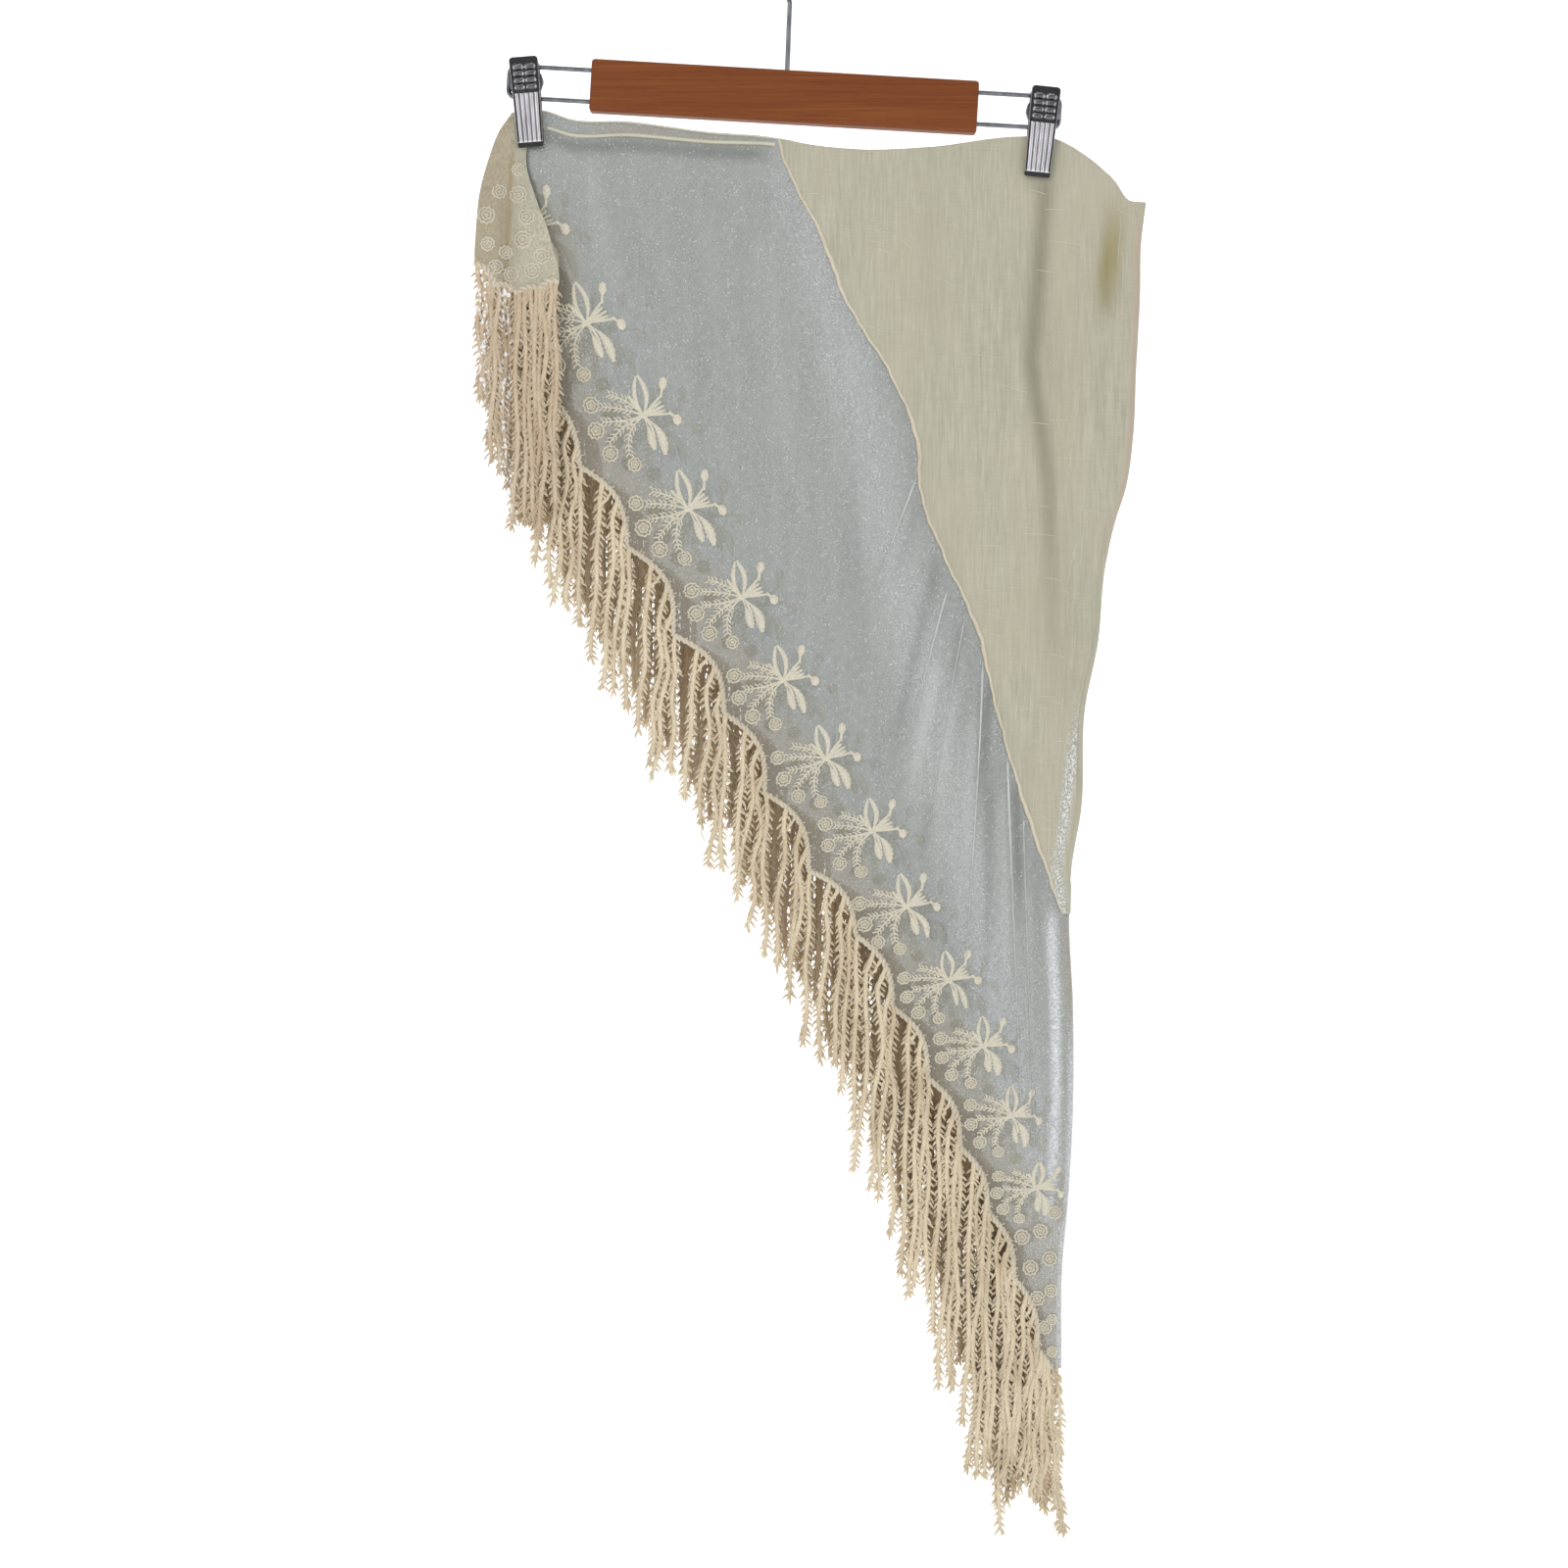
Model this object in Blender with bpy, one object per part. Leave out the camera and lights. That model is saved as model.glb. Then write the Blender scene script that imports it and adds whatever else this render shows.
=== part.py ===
"""Triangle scarf folded in half and hung by its long edge from a wooden clip hanger.

Lengths are in millimetres in the tables and are turned into metres when a mesh is made.
+Z is up, -Y faces the viewer, and the origin is the top of the rail space inside the hook.
"""

import math
from collections import namedtuple

import bmesh
import bpy
import numpy as np
from mathutils import Vector

MM = 0.001

# Cloth
WALL = 1.3  # cloth wall, measured along Y or across a fold
SEAM_GAP = 0.4  # along X, about 0.3 across the slanting seam
FIT_GAP = 0.3  # between a piece and what it touches
PINCH = 0.8  # half the distance between the two layers where a clip holds them
LAYER_STEP = WALL + FIT_GAP  # from one pinched layer to the next
LAYERS_CLEAR = 2 * PINCH  # the least distance between the middles of front and back layer
ROOTS = 3  # strands in each scallop
STATIONS = 2 * ROOTS  # points along each scallop of a hem
BACK_SHIFT_X = 12.8  # the back layer's hem hangs this far to the right of the front one's
BACK_SHIFT_Z = -6.4

# Hanger
BAR_LENGTH = 253.0
BAR_HEIGHT = 34.0
BAR_DEPTH = 14.0
BAR_ROUND = 2.0
BAR_CENTRE = Vector((-3.1, 0.0, -118.1))
BAR_TILT = math.radians(3.3)
WIRE_RADIUS = 1.5
WIRE_HALF_SPAN = 10.3  # from the bar's middle line to each run of wire
WIRE_REACH = 180.0  # from the bar's middle to the far bend
WIRE_CORNER = 5.0
WIRE_IN_BAR = 20.0
BORE_SLACK = 0.5
HOOK_RADIUS = 1.6
HOOK_INNER = 20.0  # radius of the rail space
HOOK_STEM_FOOT = Vector((-1.5, 0.0, -111.0))
HOOK_STEM_TOP = Vector((0.6, 0.0, -56.0))

# Clips
JAW_HALF_LENGTH = 29.0
JAW_TOP_WIDTH = 19.0
JAW_TIP_WIDTH = 16.5
JAW_PLATE = 1.2
JAW_TOP_OUT = 9.0  # inner face of the jaw from the middle plane, at the grip's top
JAW_KNEE_Z = 7.0
JAW_KNEE_OUT = 6.2
RIB_RISE = 0.8
BUMP_RISE = 1.0
BUMP_ROWS = 4
PAD_THICK = 2.0
PAD_HEIGHT = 12.0
CORE_WIDTH = 13.0
CORE_OUT_LOW = 5.2
CORE_OUT_TOP = 8.0

# Lobes of the front hem from the left clip to the point: place, how far the hem bows in
# before the next lobe as a share of their distance, and the length of the strands
Lobe = namedtuple("Lobe", "x z bow strand")
HEM = (
    Lobe(-176.0, -129.0, 0.00, 0),
    Lobe(-190.0, -162.0, 0.03, 0),
    Lobe(-187.5, -208.0, 0.05, 0),
    Lobe(-176.0, -258.0, 0.10, 112),
    Lobe(-161.3, -308.6, 0.12, 116),
    Lobe(-136.3, -359.8, 0.17, 106),
    Lobe(-105.6, -412.3, 0.19, 112),
    Lobe(-75.5, -469.3, 0.19, 96),
    Lobe(-42.2, -520.5, 0.18, 103),
    Lobe(-16.0, -572.3, 0.18, 97),
    Lobe(12.8, -622.9, 0.18, 102),
    Lobe(43.5, -665.1, 0.16, 124),
    Lobe(67.2, -711.8, 0.16, 150),
    Lobe(90.2, -757.9, 0.15, 152),
    Lobe(111.4, -803.4, 0.14, 172),
    Lobe(129.3, -845.6, 0.13, 178),
    Lobe(146.6, -888.5, 0.12, 124),
    Lobe(161.9, -935.8, 0.04, 92),
    Lobe(171.5, -948.5, 0.00, 0),
)
FIRST_FRINGED = 3
POINT_BUNDLE_LENGTH = 108.0
POINT_BUNDLE_HALF = 3.2

# Hem of a turned-down end, left to right
END_HEM = (
    Lobe(-204.2, -228.6, 0.16, 84),
    Lobe(-190.7, -242.7, 0.16, 112),
    Lobe(-176.0, -247.8, 0.16, 146),
    Lobe(-161.9, -245.3, 0.16, 150),
    Lobe(-149.1, -240.2, 0.00, 0),
)
# Side edges of a turned-down end
Side = namedtuple("Side", "z left right")
END_SIDES = (
    Side(-128.5, -180.5, -166.4),
    Side(-141.6, -188.8, -169.0),
    Side(-158.0, -194.6, -171.5),
    Side(-185.8, -201.0, -164.5),
    Side(-208.2, -202.9, -156.0),
    Side(-240.0, -204.2, -149.1),
)
END_BACK_SHIFT_X = 7.0
END_BACK_SHIFT_Z = -9.0
END_SWELL_TOP = -154.0  # below here a turned-down end stands away from the net
END_SWELL_FOOT = -205.0
END_SWELL = 9.5
END_VALLEY_X = -182.0
END_VALLEY_HALF = 9.0
END_VALLEY_DEEP = 5.0

# Outline of the folded cloth, place by place
Place = namedtuple("Place", "x z")
TOP_EDGE = (
    Place(-176.0, -129.0),
    Place(-160.0, -127.0),
    Place(-142.7, -132.4),
    Place(-105.6, -134.2),
    Place(-53.8, -141.0),
    Place(-6.4, -145.4),
    Place(8.0, -148.6),
    Place(46.0, -152.8),
    Place(94.1, -150.9),
    Place(149.8, -144.2),
    Place(172.0, -145.0),
    Place(189.0, -153.5),
    Place(204.0, -165.0),
    Place(213.0, -174.0),
    Place(219.0, -183.5),
    Place(233.6, -187.0),
)
SEAM = (
    Place(-6.4, -145.4),
    Place(-3.5, -157.0),
    Place(22.4, -211.4),
    Place(38.4, -253.0),
    Place(65.9, -298.4),
    Place(83.2, -339.4),
    Place(87.0, -381.0),
    Place(99.2, -413.0),
    Place(124.8, -470.6),
    Place(132.5, -505.8),
    Place(144.6, -550.6),
    Place(160.0, -598.6),
    Place(170.2, -628.0),
    Place(178.0, -650.0),
)
FOLD_EDGE = (
    Place(233.6, -187.0),
    Place(230.4, -214.6),
    Place(229.8, -246.6),
    Place(227.2, -296.5),
    Place(225.3, -339.4),
    Place(220.2, -374.6),
    Place(213.6, -395.0),
    Place(207.0, -425.1),
    Place(202.2, -475.0),
    Place(193.9, -516.6),
    Place(191.4, -582.6),
    Place(184.8, -623.5),
    Place(183.7, -652.3),
    Place(186.2, -713.1),
    Place(186.2, -778.4),
    Place(183.0, -837.9),
    Place(179.2, -880.8),
    Place(178.5, -948.0),
)
WOVEN_POINT_Z = -640.0  # the woven panel stops here, and the net closes below it

# Half the distance between the layers, away from the clips
Drape = namedtuple("Drape", "z half")
DRAPE = (
    Drape(-125.0, 1.5),
    Drape(-165.0, 3.2),
    Drape(-250.0, 5.6),
    Drape(-500.0, 6.0),
    Drape(-800.0, 4.2),
    Drape(-950.0, 1.7),
)
CLIP_FLAT = 15.0  # the layers stay pinched this far round a clip's tip
CLIP_FADE = 105.0

# Folds of the cloth: a line from head to foot, its half width, and its depth to the back
# (a ridge towards the viewer is negative)
Fold = namedtuple("Fold", "head_x head_z foot_x foot_z half deep")
FRONT_FOLDS = (
    Fold(166.0, -172.0, 180.0, -390.0, 9.0, 4.0),
    Fold(212.0, -176.0, 209.0, -268.0, 8.0, 7.0),
    Fold(196.0, -172.0, 196.0, -380.0, 11.0, -4.0),
    Fold(144.0, -175.0, 160.0, -560.0, 16.0, -3.0),
    Fold(206.0, -350.0, 178.0, -620.0, 9.0, -2.5),
    Fold(97.0, -400.0, 74.0, -560.0, 12.0, -3.0),
    Fold(128.0, -490.0, 118.0, -760.0, 11.0, -3.5),
    Fold(110.0, -470.0, 92.0, -700.0, 12.0, 2.5),
    Fold(150.0, -580.0, 152.0, -820.0, 9.0, -3.0),
    Fold(-150.0, -160.0, -20.0, -380.0, 26.0, -3.0),
    Fold(20.0, -240.0, 30.0, -560.0, 30.0, -2.5),
)
BACK_FOLDS = (
    Fold(170.0, -180.0, 150.0, -430.0, 14.0, 4.0),
    Fold(212.0, -168.0, 205.0, -300.0, 18.0, 5.5),
    Fold(120.0, -200.0, 110.0, -520.0, 18.0, -2.5),
    Fold(104.0, -430.0, 96.0, -740.0, 13.0, 4.0),
    Fold(146.0, -560.0, 146.0, -800.0, 10.0, 3.0),
    Fold(-140.0, -170.0, -10.0, -420.0, 28.0, 3.5),
    Fold(30.0, -230.0, 40.0, -520.0, 26.0, 3.0),
)
FOLD_FADE = 0.22  # share of a fold's length over which it rises and dies away
FOLD_BEND = 3  # columns on the rounded fold at the right edge

# Shares of a panel's width at which its columns stand
NET_COLUMNS = (0.0, 0.09, 0.22, 0.36, 0.49, 0.61, 0.73, 0.86, 1.0)
WOVEN_COLUMNS = (0.0, 0.13, 0.26, 0.39, 0.51, 0.61, 0.69, 0.75, 0.81, 0.86, 0.905, 0.95, 1.0)

Clip = namedtuple("Clip", "name x z lean tip_z tip_x layers")
CLIPS = (
    Clip("clip_left", -170.6, -122.4, math.radians(-4.7), -146.0, -168.4, 4),
    Clip("clip_right", 164.7, -141.6, math.radians(6.0), -165.0, 162.2, 2),
)


def clear_scene():
    for obj in list(bpy.data.objects):
        bpy.data.objects.remove(obj, do_unlink=True)


def material(name, colour, roughness, metallic=0.0):
    """A plain surface with the piece's own colour and gloss."""
    mat = bpy.data.materials.new(name)
    mat.use_nodes = True
    shader = mat.node_tree.nodes["Principled BSDF"]
    shader.inputs["Base Color"].default_value = (*colour, 1.0)
    shader.inputs["Roughness"].default_value = roughness
    shader.inputs["Metallic"].default_value = metallic
    return mat


def add_mesh(name, points, faces, mat, smooth=True):
    """An object from millimetre points, its faces turned outwards."""
    mesh = bpy.data.meshes.new(name)
    mesh.from_pydata([Vector(p) * MM for p in points], [], faces)
    form = bmesh.new()
    form.from_mesh(mesh)
    bmesh.ops.recalc_face_normals(form, faces=form.faces)
    form.to_mesh(mesh)
    form.free()
    if smooth:
        mesh.shade_smooth()
        mesh.set_sharp_from_angle(angle=math.radians(35))
    obj = bpy.data.objects.new(name, mesh)
    obj.data.materials.append(mat)
    bpy.context.scene.collection.objects.link(obj)
    return obj


def curve_through(keys, values):
    """A smooth function that passes through the given values."""
    order = np.argsort(keys)
    keys = np.array(keys, float)[order]
    values = np.array(values, float)[order]
    slopes = np.gradient(values, keys)

    def at(key):
        key = min(max(key, keys[0]), keys[-1])
        i = min(int(np.searchsorted(keys, key, side="right")) - 1, len(keys) - 2)
        step = keys[i + 1] - keys[i]
        t = (key - keys[i]) / step
        start = (2 * t**3 - 3 * t**2 + 1) * values[i] + (t**3 - 2 * t**2 + t) * step * slopes[i]
        end = (3 * t**2 - 2 * t**3) * values[i + 1] + (t**3 - t**2) * step * slopes[i + 1]
        return float(start + end)

    return at


def mix(a, b, share):
    return a + (b - a) * share


def ease(share):
    share = min(max(share, 0.0), 1.0)
    return share * share * (3.0 - 2.0 * share)


top_z = curve_through([p.x for p in TOP_EDGE], [p.z for p in TOP_EDGE])
seam_x = curve_through([p.z for p in SEAM], [p.x for p in SEAM])
edge_x = curve_through([p.z for p in FOLD_EDGE], [p.x for p in FOLD_EDGE])
drape_half = curve_through([d.z for d in DRAPE], [d.half for d in DRAPE])
end_left = curve_through([s.z for s in END_SIDES], [s.left for s in END_SIDES])
end_right = curve_through([s.z for s in END_SIDES], [s.right for s in END_SIDES])


def pinch_at(x, z):
    """One inside a clip's grip, falling to zero away from it."""
    near = 0.0
    for clip in CLIPS:
        away = math.hypot(x - clip.tip_x, z - clip.tip_z)
        near = max(near, 1.0 - ease((away - CLIP_FLAT) / CLIP_FADE))
    return near


def half_gap(x, z):
    return mix(drape_half(z), PINCH, pinch_at(x, z))


def fold_depth(folds, x, z):
    """Sum of the folds at a place, each a soft trough or ridge along its line."""
    depth = 0.0
    for fold in folds:
        share = (z - fold.head_z) / (fold.foot_z - fold.head_z)
        if not 0.0 < share < 1.0:
            continue
        off = abs(x - mix(fold.head_x, fold.foot_x, share)) / fold.half
        if off < 1.0:
            rise = ease(share / FOLD_FADE) * ease((1.0 - share) / FOLD_FADE)
            depth += fold.deep * rise * 0.5 * (1.0 + math.cos(math.pi * off))
    return depth * (1.0 - pinch_at(x, z))


def front_y(x, z):
    return -half_gap(x, z) + fold_depth(FRONT_FOLDS, x, z)


def back_y(x, z):
    return max(half_gap(x, z) + fold_depth(BACK_FOLDS, x, z), front_y(x, z) + LAYERS_CLEAR)


def shifted(lobes, shift_x, shift_z):
    """The same hem hung a little to the right, fading out at both ends."""
    last = len(lobes) - 1
    moved = []
    for k, lobe in enumerate(lobes):
        share = min(1.0, k / 3, (last - k) / 4)
        moved.append(lobe._replace(x=lobe.x + shift_x * share, z=lobe.z + shift_z * share))
    return moved


def hem_stations(lobes):
    """Points along a scalloped hem, STATIONS to each scallop."""
    points = []
    for a, b in zip(lobes, lobes[1:]):
        dx, dz = b.x - a.x, b.z - a.z
        for m in range(STATIONS):
            t = m / STATIONS
            bow = a.bow * math.sin(math.pi * t)
            points.append((a.x + dx * t - dz * bow, a.z + dz * t + dx * bow))
    points.append((lobes[-1].x, lobes[-1].z))
    return points


def seam_level(hem_z):
    """The height at the seam or fold of the cloth row that starts at a height on the hem."""
    head, foot = HEM[0].z, HEM[-1].z
    return mix(SEAM[0].z, FOLD_EDGE[-1].z, (hem_z - head) / (foot - head))


ROW_STEP = STATIONS // 2
FRONT_HEM = hem_stations(HEM)
SEAM_LEVELS = [seam_level(z) for x, z in FRONT_HEM[::ROW_STEP]]
WOVEN_ROWS = len([z for z in SEAM_LEVELS if z > WOVEN_POINT_Z])
WOVEN_FOOT_Z = SEAM_LEVELS[WOVEN_ROWS - 1]


def fold_points(z):
    """Points round the right edge from the front layer to the back one, with their outward
    directions. The outermost lies on the outline."""
    middle_x = edge_x(z)
    front = front_y(middle_x, z)
    back = back_y(middle_x, z)
    half = (back - front) / 2
    reach = min(half, 4.0)
    points = []
    for i in range(FOLD_BEND + 2):
        turn = math.pi * i / (FOLD_BEND + 1)
        out = Vector((math.sin(turn), -math.cos(turn), 0.0))
        x = middle_x - WALL / 2 - reach + reach * math.sin(turn)
        points.append((Vector((x, (front + back) / 2 - half * math.cos(turn), z)), out))
    return points


class Sheet:
    """A cloth surface with an outward direction at each point, closed into a wall."""

    def __init__(self):
        self.points = []
        self.outs = []
        self.faces = []

    def add(self, point, out):
        self.points.append(Vector(point))
        self.outs.append(Vector(out))
        return len(self.points) - 1

    def wall(self, name, mat):
        count = len(self.points)
        outer = [p + n * WALL / 2 for p, n in zip(self.points, self.outs)]
        inner = [p - n * WALL / 2 for p, n in zip(self.points, self.outs)]
        faces = [tuple(f) for f in self.faces]
        faces += [tuple(i + count for i in reversed(f)) for f in self.faces]
        used = {(f[i], f[(i + 1) % len(f)]) for f in self.faces for i in range(len(f))}
        for a, b in sorted(used):
            if (b, a) not in used:
                faces.append((b, a, a + count, b + count))
        return add_mesh(name, outer + inner, faces, mat)


def woven_panel(mat):
    """The slub triangle: front layer, rounded fold at the right edge, back layer."""
    sheet = Sheet()
    head_z = SEAM_LEVELS[0]
    grid = []
    for level in SEAM_LEVELS[:WOVEN_ROWS]:
        share = (SEAM[0].z - level) / (SEAM[0].z - WOVEN_FOOT_Z)
        end_z = mix(FOLD_EDGE[0].z, WOVEN_FOOT_Z, share)
        fold = fold_points(end_z)
        start_x = seam_x(level) + SEAM_GAP / 2
        flat = []
        for u in WOVEN_COLUMNS:
            x = mix(start_x, fold[0][0].x, u)
            head_x = mix(seam_x(head_z), FOLD_EDGE[0].x, u)
            rise = top_z(head_x) - mix(head_z, FOLD_EDGE[0].z, u)
            flat.append((x, mix(level, end_z, u) + rise * (1.0 - share) ** 2))
        row = [sheet.add((x, front_y(x, z), z), (0, -1, 0)) for x, z in flat[:-1]]
        row += [sheet.add(point, out) for point, out in fold]
        row += [sheet.add((x, back_y(x, z), z), (0, 1, 0)) for x, z in reversed(flat[:-1])]
        grid.append(row)
    for upper, lower in zip(grid, grid[1:]):
        for i in range(len(upper) - 1):
            sheet.faces.append((upper[i], lower[i], lower[i + 1], upper[i + 1]))
    return sheet.wall("woven_panel", mat)


def net_half(sheet, stations, depth, out):
    """One layer of the net. Gives its rows, and for each row the point at its right end."""
    fine = [sheet.add((x, depth(x, z), z), out) for x, z in stations]
    rows = []
    for r, level in enumerate(SEAM_LEVELS):
        hem_x, hem_z = stations[r * ROW_STEP]
        closed = r >= WOVEN_ROWS
        end_x = fold_points(level)[0][0].x if closed else seam_x(level) - SEAM_GAP / 2
        top_fade = max(0.0, 1.0 - r / 4) ** 2
        row = [fine[r * ROW_STEP]]
        for u in NET_COLUMNS[1:]:
            head_x = mix(HEM[0].x, SEAM[0].x, u)
            rise = top_z(head_x) - mix(HEM[0].z, SEAM[0].z, u)
            x = mix(hem_x, end_x, u)
            z = mix(hem_z, level, u) + rise * top_fade
            row.append(sheet.add((x, depth(x, z), z), out))
        rows.append(row)
    front = out[1] < 0
    for r, (upper, lower) in enumerate(zip(rows, rows[1:])):
        start = r * ROW_STEP
        cells = [[upper[1]] + fine[start : start + ROW_STEP + 1] + [lower[1]]]
        for i in range(1, len(NET_COLUMNS) - 1):
            cells.append([upper[i], lower[i], lower[i + 1], upper[i + 1]])
        sheet.faces += [c if front else c[::-1] for c in cells]
    return rows


def net_panel(mat):
    """The net chevron: two layers beside the woven panel, joined by a fold below it."""
    sheet = Sheet()
    back_hem = hem_stations(shifted(HEM, BACK_SHIFT_X, BACK_SHIFT_Z))
    front_rows = net_half(sheet, FRONT_HEM, front_y, (0, -1, 0))
    back_rows = net_half(sheet, back_hem, back_y, (0, 1, 0))
    strip_z = WOVEN_FOOT_Z - SEAM_GAP
    corner = fold_points(strip_z)
    head = [sheet.add(point, out) for point, out in corner]
    above = (front_rows[WOVEN_ROWS - 1][-1], back_rows[WOVEN_ROWS - 1][-1])
    for i in above:
        sheet.points[i].z -= SEAM_GAP
    grid = [head]
    for r in range(WOVEN_ROWS, len(SEAM_LEVELS)):
        bend = fold_points(SEAM_LEVELS[r])
        middle = [sheet.add(point, out) for point, out in bend[1:-1]]
        grid.append([front_rows[r][-1]] + middle + [back_rows[r][-1]])
    sheet.faces.append((above[0], grid[1][0], head[0]))
    sheet.faces.append((above[1], head[-1], grid[1][-1]))
    for upper, lower in zip(grid, grid[1:]):
        for i in range(len(upper) - 1):
            sheet.faces.append((upper[i], lower[i], lower[i + 1], upper[i + 1]))
    return sheet.wall("net_panel", mat)


def end_y(x, z, side):
    """Depth of a turned-down end, outside the net on the given side."""
    swell = END_SWELL * ease((END_SWELL_TOP - z) / (END_SWELL_TOP - END_SWELL_FOOT))
    off = min(abs(x - END_VALLEY_X) / END_VALLEY_HALF, 1.0)
    valley = END_VALLEY_DEEP * 0.5 * (1.0 + math.cos(math.pi * off)) * swell / END_SWELL
    return side * (half_gap(x, z) + LAYER_STEP + swell - valley)


def end_lobes(shift_x, shift_z):
    return [lobe._replace(x=lobe.x + shift_x, z=lobe.z + shift_z) for lobe in END_HEM]


def turned_end(name, side, shift_x, shift_z, mat):
    """An acute end of the scarf, falling from the clip to its own scalloped hem."""
    sheet = Sheet()
    hem = hem_stations(end_lobes(shift_x, shift_z))
    grid = []
    steps = 8
    head = END_SIDES[0]
    for r in range(steps):
        share = r / steps
        row = []
        for u, (hem_x, hem_z) in zip(np.linspace(0, 1, len(hem)), hem):
            z = mix(head.z, hem_z, share)
            level = mix(head.z, END_SIDES[-1].z, share)
            drift = shift_x * share
            x = mix(end_left(level), end_right(level), u) + drift
            row.append(sheet.add((x, end_y(x, z, side), z), (0, side, 0)))
        grid.append(row[::2] if r < steps - 1 else row)
    grid.append([sheet.add((x, end_y(x, z, side), z), (0, side, 0)) for x, z in hem])
    for r, (upper, lower) in enumerate(zip(grid, grid[1:])):
        for i in range(len(upper) - 1):
            if len(upper) == len(lower):
                cell = [upper[i], lower[i], lower[i + 1], upper[i + 1]]
            else:
                cell = [upper[i], *lower[2 * i : 2 * i + 3], upper[i + 1]]
            sheet.faces.append(cell if side < 0 else cell[::-1])
    keep_used_points(sheet)
    return sheet.wall(name, mat)


def keep_used_points(sheet):
    """Drops points that no face uses."""
    used = sorted({i for face in sheet.faces for i in face})
    place = {old: new for new, old in enumerate(used)}
    sheet.points = [sheet.points[i] for i in used]
    sheet.outs = [sheet.outs[i] for i in used]
    sheet.faces = [[place[i] for i in face] for face in sheet.faces]


STRIP_WIDE = 2.0
STRIP_DEEP = 1.1  # half its thickness
STRAND_HALF = 1.4
STRAND_DEEP = 1.1
STRAND_FALL = 5.0  # below its root a strand hangs straight


def fringe(name, lobes, depth, lean, mat, bundle=False):
    """Strands on a narrow strip that follows a scalloped hem just outside the cloth. A strand
    grows out of every second cell of the strip, so strip and strands are one solid."""
    hem = hem_stations(lobes)
    if bundle:
        hem.append((hem[-1][0] + 2 * POINT_BUNDLE_HALF, FOLD_EDGE[-1].z))
    points = []
    faces = []
    last = len(hem) - 1
    for i, (x, z) in enumerate(hem):
        here = Vector((x, z))
        arrive = (here - Vector(hem[i - 1])).normalized() if i else None
        leave = (Vector(hem[i + 1]) - here).normalized() if i < last else arrive
        run = ((arrive or leave) + leave).normalized()
        out = Vector((run.y, -run.x)) / max(run.dot(leave), 0.7)
        y = depth(x, z)
        near = here + out * FIT_GAP
        far = near + out * STRIP_WIDE
        points.append((near.x, y - STRIP_DEEP, near.y))
        points.append((near.x, y + STRIP_DEEP, near.y))
        points.append((far.x, y + STRIP_DEEP, far.y))
        points.append((far.x, y - STRIP_DEEP, far.y))

    def strand(i, x, length, half, phase):
        root = [4 * i + 3, 4 * i + 2, 4 * i + 6, 4 * i + 7]
        foot_z = min(points[4 * i + 3][2], points[4 * i + 7][2])
        y = (points[4 * i + 3][1] + points[4 * i + 6][1]) / 2
        ring = root
        for share, width in ((0.0, 1.0), (0.5, 1.0), (1.0, 0.6)):
            z = mix(foot_z - STRAND_FALL, foot_z - length, share)
            sway = 1.1 * share * math.sin(2.3 * phase)
            push = 0.8 * share * math.cos(1.7 * phase)
            w = half * width
            d = STRAND_DEEP * width
            start = len(points)
            points.append((x + sway - w, y + push - d, z))
            points.append((x + sway - w, y + push + d, z))
            points.append((x + sway + w, y + push + d, z))
            points.append((x + sway + w, y + push - d, z))
            new = [start + k for k in range(4)]
            for k in range(4):
                faces.append((ring[k], ring[(k + 1) % 4], new[(k + 1) % 4], new[k]))
            ring = new
        faces.append(tuple(ring))

    for i in range(last):
        a, b = 4 * i, 4 * i + 4
        faces.append((a, b, b + 3, a + 3))
        faces.append((a + 1, a + 2, b + 2, b + 1))
        faces.append((a, a + 1, b + 1, b))
        if bundle and i == last - 1:
            centre = (hem[i][0] + hem[i + 1][0]) / 2 - 1.5
            strand(i, centre, POINT_BUNDLE_LENGTH, POINT_BUNDLE_HALF, i)
            continue
        scallop, m = divmod(i, STATIONS)
        if m % 2 or scallop >= len(lobes) - 1:
            faces.append((a + 3, b + 3, b + 2, a + 2))
            continue
        here, following = lobes[scallop], lobes[scallop + 1]
        share = (m / 2 + 0.5) / ROOTS
        length = mix(here.strand, following.strand or here.strand, share)
        length *= 1.0 + 0.08 * math.sin(5.1 * i)
        strand(i, mix(here.x, following.x, share) - lean, length, STRAND_HALF, i)
    faces.append((0, 3, 2, 1))
    end = 4 * last
    faces.append((end, end + 1, end + 2, end + 3))
    return add_mesh(name, points, faces, mat, smooth=False)


def wire(name, route, radius, mat, parent=None):
    """Round wire along a route, closed at both ends."""
    data = bpy.data.curves.new(name, "CURVE")
    data.dimensions = "3D"
    data.bevel_depth = radius * MM
    data.bevel_resolution = 2
    data.use_fill_caps = True
    spline = data.splines.new("POLY")
    spline.points.add(len(route) - 1)
    for point, place in zip(spline.points, route):
        point.co = (*(Vector(place) * MM), 1.0)
    obj = bpy.data.objects.new(name, data)
    data.materials.append(mat)
    bpy.context.scene.collection.objects.link(obj)
    obj.parent = parent
    return obj


def arc(centre, radius, start, end, steps):
    """Points on an arc in the XZ plane, angles in degrees from +X."""
    angles = [math.radians(mix(start, end, i / steps)) for i in range(steps + 1)]
    return [centre + radius * Vector((math.cos(a), 0.0, math.sin(a))) for a in angles]


def hook(mat):
    """Straight stem, a turn to the left, and the round over the rail."""
    radius = HOOK_INNER + HOOK_RADIUS
    centre = Vector((0.0, 0.0, -HOOK_INNER))
    stem = [HOOK_STEM_FOOT, HOOK_STEM_FOOT.lerp(HOOK_STEM_TOP, 0.5), HOOK_STEM_TOP]
    turn = [Vector((-1.6, 0.0, -50.5)), Vector((-7.5, 0.0, -44.0)), Vector((-14.2, 0.0, -38.3))]
    over = arc(centre, radius, 212.0, -38.0, 20)
    return wire("hanger_hook", stem + turn + over, HOOK_RADIUS, mat)


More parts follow.
